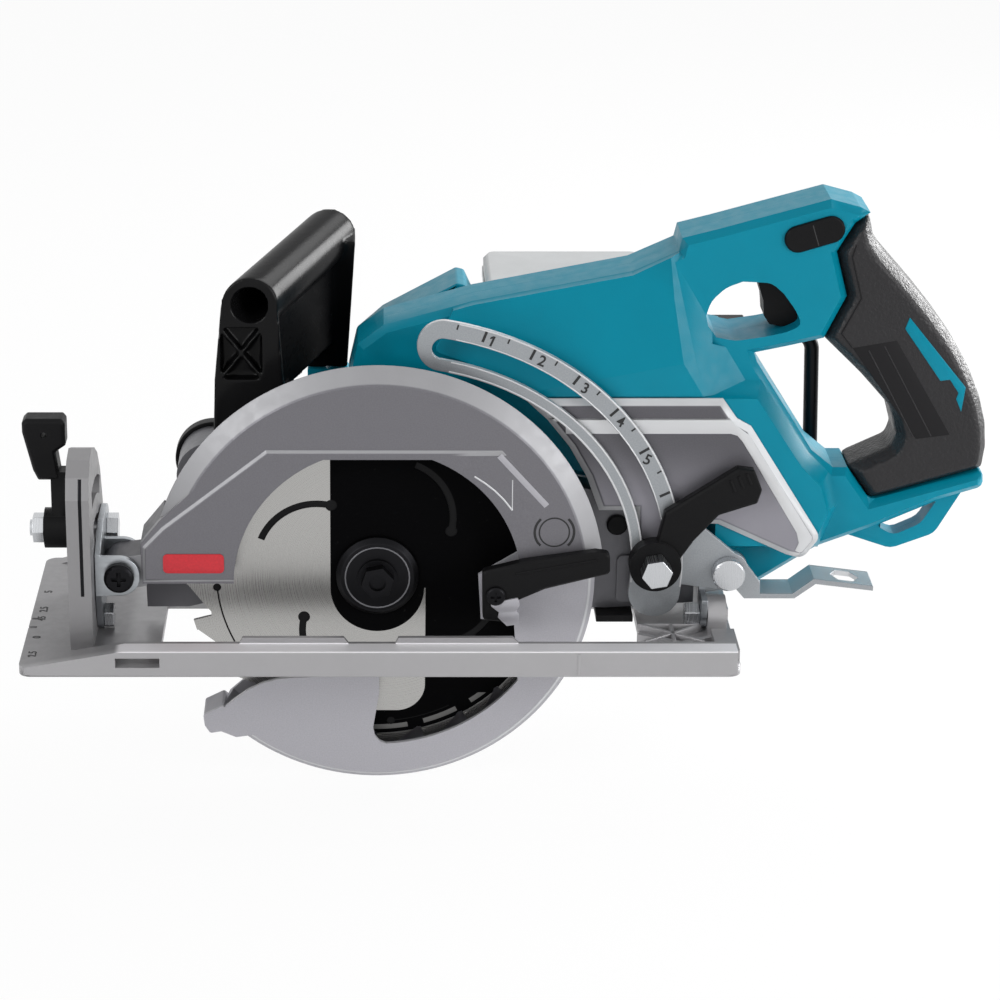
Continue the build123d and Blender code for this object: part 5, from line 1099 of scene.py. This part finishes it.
class SAW_OT_base(bpy.types.Operator):
    """Dress the base, its front scale, its ribs and its lines"""

    bl_idname = "saw.base"
    bl_label = "Base"

    def execute(self, context):
        own = sizes()
        dress("base", "base_metal", own.cast_edge)
        dress("bevel_pivot_bolts", "dark_steel", 0.25 * MM, finish="bolt_steel")
        deck = DECK * MM + own.mark_height / 2
        body = body_of("base")
        quarter = Matrix.Rotation(pi / 2, 4, "Z")
        digits = [
            (text, Matrix.Translation((BASE_NUMBERS_X * MM, along * MM, deck)) @ quarter)
            for text, along in BASE_NUMBERS]
        numbers("base_scale_numbers", digits, own.base_digit_size, "marks", body)
        walls("base_rear_ribs", BASE_RIBS, 1.8, (4.2, 8.4), "base_metal", body)
        # Painted shade: the groove on the quadrant is a dark raised line.
        rib("base_quadrant_groove", millimetres(QUADRANT_GROOVE), 1.7 * MM, 0.25 * MM, "base",
            "dark_steel")
        rib("base_seam", millimetres(BASE_SEAM), 1.6 * MM, 0.4 * MM, "base", "base_metal")
        return {"FINISHED"}


class SAW_OT_brackets(bpy.types.Operator):
    """Dress the pressed brackets, the link pin and the bevel clamp"""

    bl_idname = "saw.brackets"
    bl_label = "Brackets"

    def execute(self, context):
        edge = sizes().sheet_edge
        dress("front_bracket", "zinc", edge)
        dress("rear_bracket", "zinc", edge)
        dress("link_pin", "bolt_steel", 0.25 * MM)
        dress("bevel_clamp_bolt", "bolt_steel", 0.2 * MM)
        dress("bevel_nut", "bolt_steel", 0.25 * MM)
        dress("bevel_lever", "black_matte", 0.5 * MM)
        return {"FINISHED"}


class SAW_OT_depth(bpy.types.Operator):
    """Dress the depth link, its scale, the clamp and the pivot screws"""

    bl_idname = "saw.depth"
    bl_label = "Depth adjustment"

    def execute(self, context):
        own = sizes()
        dress("depth_link", "zinc", own.sheet_edge, finish="link_zinc")
        dress("depth_lever", "black_matte", 0.6 * MM)
        for i, line in enumerate(DEPTH_LEVER_RIBS):
            rib("depth_lever_rib_" + str(i + 1), millimetres(line), 1.6 * MM, 0.5 * MM,
                "depth_lever", "black_matte")
        dress("depth_clamp_bolt", "bolt_steel", 0.25 * MM)
        dress("depth_pivot_screws", "dark_steel", 0.25 * MM)
        # Painted highlight lines along the depth link's edges and slot.
        for name, out, width in LINK_HIGHLIGHT_LINES:
            line = [link_side(-3.0 + 38.0 * i / 24, out) for i in range(25)]
            rib("depth_link_" + name, millimetres(line), width * MM, 0.15 * MM, "depth_link",
                "bright_line")
        low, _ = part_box("depth_link")
        face = low.y - own.mark_height / 2
        body = body_of("depth_link")
        half = SCALE_STEP / 2
        for name, first, out, length, width in (
                ("depth_scale_ticks", SCALE_FIRST, 10.4, own.tick_length, own.tick_width),
                ("depth_scale_half_ticks", SCALE_FIRST + half, 11.9, own.tick_length * 0.45,
                 own.tick_width * 0.6)):
            line = [link_side(first + SCALE_STEP * i / 4, out) for i in range(4 * SCALE_STEPS + 1)]
            path = [(x, face, z) for x, z in millimetres(line)]
            marks_along(
                name, path, SCALE_STEPS + 1, width, length, own.mark_height, "marks", body)
        stand = Matrix.Rotation(radians(DIGIT_LEAN), 4, "Y") @ Matrix.Rotation(pi / 2, 4, "X")
        digits = []
        for i in range(SCALE_STEPS):
            x, z = link_side(SCALE_FIRST + SCALE_STEP * (i + 1) - 0.75, 9.4)
            place = Matrix.Translation((x * MM, face, z * MM)) @ stand
            digits.append((str(SCALE_STEPS - i), place))
        numbers("depth_scale_numbers", digits, own.digit_size, "marks", body)
        return {"FINISHED"}


class SAW_OT_body(bpy.types.Operator):
    """Dress the moulded body halves, the panel and the covers"""

    bl_idname = "saw.body"
    bl_label = "Body"

    def execute(self, context):
        own = sizes()
        for half in ("housing_left", "housing_right"):
            dress(half, "teal_plastic", own.soft_edge, 3, 20, corner=own.outline_corner)
        dress("frame_panel", "case_metal", own.cast_edge, finish="panel_metal")
        # Painted highlight: a thin lighter band along the panel's upper and right edges.
        solid("panel_rim", millimetres(PANEL_RIM), 6.0 * MM, 0.3 * MM, "bright_line",
              body_of("frame_panel"), 0.2 * MM)
        dress("controller_cover", "teal_plastic", own.soft_edge, 3)
        dress("belly_cover", "black_matte", 0.4 * MM)
        dress("housing_screws", "dark_steel", 0.2 * MM)
        return {"FINISHED"}


class SAW_OT_grip(bpy.types.Operator):
    """Dress the rear grip, the trigger and the lock-off button"""

    bl_idname = "saw.grip"
    bl_label = "Rear grip"

    def execute(self, context):
        width = sizes().rib_width
        soften("rear_grip", "grip_rubber", 1.1 * MM, 12)
        dress("trigger", "black_matte", 1.2 * MM, 3)
        dress("lock_off_button", "black_matte", 0.6 * MM, 3)
        rib("lock_off_line", millimetres(LOCK_OFF_LINE), 0.5 * MM, 0.1 * MM, "lock_off_button",
            "marks")
        low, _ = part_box("rear_grip")
        body = body_of("rear_grip")
        seat = low.y + 0.3 * MM
        solid("grip_inlay", millimetres(GRIP_INLAY), seat, 0.7 * MM, "teal_plastic", body,
              0.35 * MM)
        solid("grip_pad", millimetres(GRIP_PAD), seat, 0.45 * MM, "grip_pad", body,
              0.3 * MM)
        rib("grip_border", millimetres(GRIP_BORDER), width, 0.3 * MM, "rear_grip", "grip_pad")
        for i, line in enumerate(GRIP_LINES):
            rib("grip_line_" + str(i + 1), millimetres(line), width, 0.35 * MM, "rear_grip",
                "grip_rubber")
        return {"FINISHED"}


class SAW_OT_front_handle(bpy.types.Operator):
    """Dress the front handle and its screws"""

    bl_idname = "saw.front_handle"
    bl_label = "Front handle"

    def execute(self, context):
        soften("front_handle", "black_plastic", 1.0 * MM, 4)
        paint("handle_screws", "bolt_steel")
        return {"FINISHED"}


class SAW_OT_drive(bpy.types.Operator):
    """Dress the gear housing, the motor and the dust nozzle"""

    bl_idname = "saw.drive"
    bl_label = "Drive"

    def execute(self, context):
        dress("gear_housing", "gear_metal", sizes().cast_edge)
        dress("motor_housing", "teal_plastic", 0.8 * MM)
        dress("motor_end_cover", "black_matte", 0.6 * MM)
        dress("dust_nozzle", "black_matte", 0.6 * MM, finish="gear_metal")
        dress("nozzle_ring", "black_matte", 0.4 * MM)
        dress("shaft_lock_button", "black_matte", 0.5 * MM)
        return {"FINISHED"}


class SAW_OT_battery(bpy.types.Operator):
    """Dress the battery and its release button"""

    bl_idname = "saw.battery"
    bl_label = "Battery"

    def execute(self, context):
        dress("battery_case", "battery_grey", 1.2 * MM, 3)
        low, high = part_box("battery_case")
        body = body_of("battery_case")
        wall, corner, open_from = 0.8 * MM, 5 * MM, low.y + 7 * MM
        for name, z, height, proud, finish in (
                ("battery_seam", 0.0785, 1.2 * MM, 0.15 * MM, "grip_pad"),
                ("battery_foot", low.z + 0.004, 9 * MM, 0.5 * MM, "battery_grey"),
                ("battery_lip", 0.1465, 4.5 * MM, 0.5 * MM, "battery_grey")):
            belt(name, (low.x - proud, high.x + proud), (open_from, high.y + proud),
                 (z, z + height), corner, proud + wall, finish, body)
        inset, middle = 0.02, 0.112
        path = [(low.x + inset, high.y, middle), (high.x - inset, high.y, middle)]
        marks_along("battery_ribs", path, 7, 2.4 * MM, 34 * MM, 1.2 * MM, "battery_grey", body)
        dress("battery_release_button", "black_matte", 0.6 * MM)
        paint("battery_cells", "cell")
        paint("battery_terminal", "black_matte")
        return {"FINISHED"}


class SAW_OT_hook(bpy.types.Operator):
    """Dress the hook and its bracket"""

    bl_idname = "saw.hook"
    bl_label = "Hook"

    def execute(self, context):
        dress("hook", "dark_steel", 0.2 * MM)
        dress("hook_bracket", "black_matte", 0.6 * MM)
        return {"FINISHED"}


class SAW_OT_inside(bpy.types.Operator):
    """Finish the pieces inside the housings"""

    bl_idname = "saw.inside"
    bl_label = "Inner pieces"

    def execute(self, context):
        for node, slot in (
                ("bearing_retainer", "bolt_steel"), ("spindle_bearings", "bearing_steel"),
                ("motor_bearings", "bearing_steel"), ("guard_spring", "bolt_steel"),
                ("stator", "core_steel"), ("rotor_core", "core_steel"),
                ("rotor_shaft", "bearing_steel"), ("pinion", "bearing_steel"),
                ("fan", "black_matte"), ("controller", "black_matte"),
                ("switch_unit", "black_matte")):
            paint(node, slot)
        return {"FINISHED"}


class SAW_OT_stage(bpy.types.Operator):
    """Set the floor, the lamps and the camera"""

    bl_idname = "saw.stage"
    bl_label = "Stage"

    def lamp(self, name, place, size, power):
        light = bpy.data.lights.new(name, "AREA")
        light.shape = "DISK"
        light.size = size
        light.energy = power
        holder = link_object(name, light)
        holder.location = place
        aim = LAMP_AIM - Vector(place)
        holder.rotation_euler = aim.to_track_quat("-Z", "Y").to_euler()

    def floor(self, colour, height):
        reach = 4
        corners = [(x * reach, y * reach, height) for x, y in ((-1, -1), (1, -1), (1, 1), (-1, 1))]
        mesh = bpy.data.meshes.new("floor")
        mesh.from_pydata(corners, [], [(0, 1, 2, 3)])
        finish = Finish("floor", Base_Color=colour, Roughness=0.8, Specular_IOR_Level=0.1)
        finish.roughen(finish.noise(8, 2), 0.75, 0.85)
        tree = finish.tree
        glow = new_node(tree, "ShaderNodeEmission", {}, {"Color": WHITE, "Strength": 1.0})
        both = new_node(tree, "ShaderNodeMixShader", {}, {
            0: in_view(tree) * 0.94, 1: finish.shader.outputs[0], 2: glow.outputs[0]})
        tree.links.new(both.outputs[0], tree.nodes["Material Output"].inputs["Surface"])
        mesh.materials.append(finish.material)
        link_object("floor", mesh)

    def world(self, scene):
        room = bpy.data.worlds.new("studio")
        room.use_nodes = True
        scene.world = room
        tree = room.node_tree
        back = tree.nodes["Background"]
        back.inputs["Color"].default_value = WHITE
        join(tree, back.inputs["Strength"], in_view(tree) * 0.72 + 0.28)

    def camera(self, scene, lens):
        camera = bpy.data.cameras.new("camera")
        camera.lens = lens
        camera.sensor_width = SENSOR
        camera.shift_x = EYE_SHIFT
        camera.clip_end = FAR_CLIP
        eye = link_object("camera", camera)
        eye.location = EYE
        eye.rotation_euler = (radians(EYE_TILT), 0, 0)
        scene.camera = eye

    def execute(self, context):
        scene = context.scene
        own = scene.saw_stage
        scene.view_settings.view_transform = "Standard"
        self.floor(tuple(own.floor), cad_box[0][2] - 0.5 * MM)
        self.world(scene)
        for name, key, place, size in LAMPS:
            self.lamp(name, place, size, getattr(own, key))
        self.camera(scene, own.lens)
        return {"FINISHED"}


STEPS = (
    SAW_OT_case, SAW_OT_blade, SAW_OT_guard, SAW_OT_base, SAW_OT_brackets, SAW_OT_depth,
    SAW_OT_body, SAW_OT_grip, SAW_OT_front_handle, SAW_OT_drive, SAW_OT_battery, SAW_OT_hook,
    SAW_OT_inside, SAW_OT_stage)


class SAW_PT_panel(bpy.types.Panel):
    """The saw's pieces, sizes and colours"""

    bl_idname = "SAW_PT_panel"
    bl_label = "Saw"
    bl_space_type = "VIEW_3D"
    bl_region_type = "UI"
    bl_category = "Saw"

    def draw(self, context):
        scene = context.scene
        column = self.layout.column()
        for step in STEPS:
            column.operator(step.bl_idname)
        for group in (scene.saw_colours, scene.saw_sizes, scene.saw_stage):
            for key in group.bl_rna.properties.keys():
                if key not in ("rna_type", "name"):
                    column.prop(group, key)


CLASSES = (SawColours, SawSizes, SawStage, *STEPS, SAW_PT_panel)


def register():
    for item in CLASSES:
        bpy.utils.register_class(item)
    bpy.types.Scene.saw_colours = PointerProperty(type=SawColours)
    bpy.types.Scene.saw_sizes = PointerProperty(type=SawSizes)
    bpy.types.Scene.saw_stage = PointerProperty(type=SawStage)


def unregister():
    del bpy.types.Scene.saw_stage
    del bpy.types.Scene.saw_sizes
    del bpy.types.Scene.saw_colours
    for item in reversed(CLASSES):
        bpy.utils.unregister_class(item)


def main():
    register()
    mix_finishes(bpy.context.scene)
    for step in STEPS:
        group, name = step.bl_idname.split(".")
        getattr(getattr(bpy.ops, group), name)()


if __name__ == "__main__":
    main()
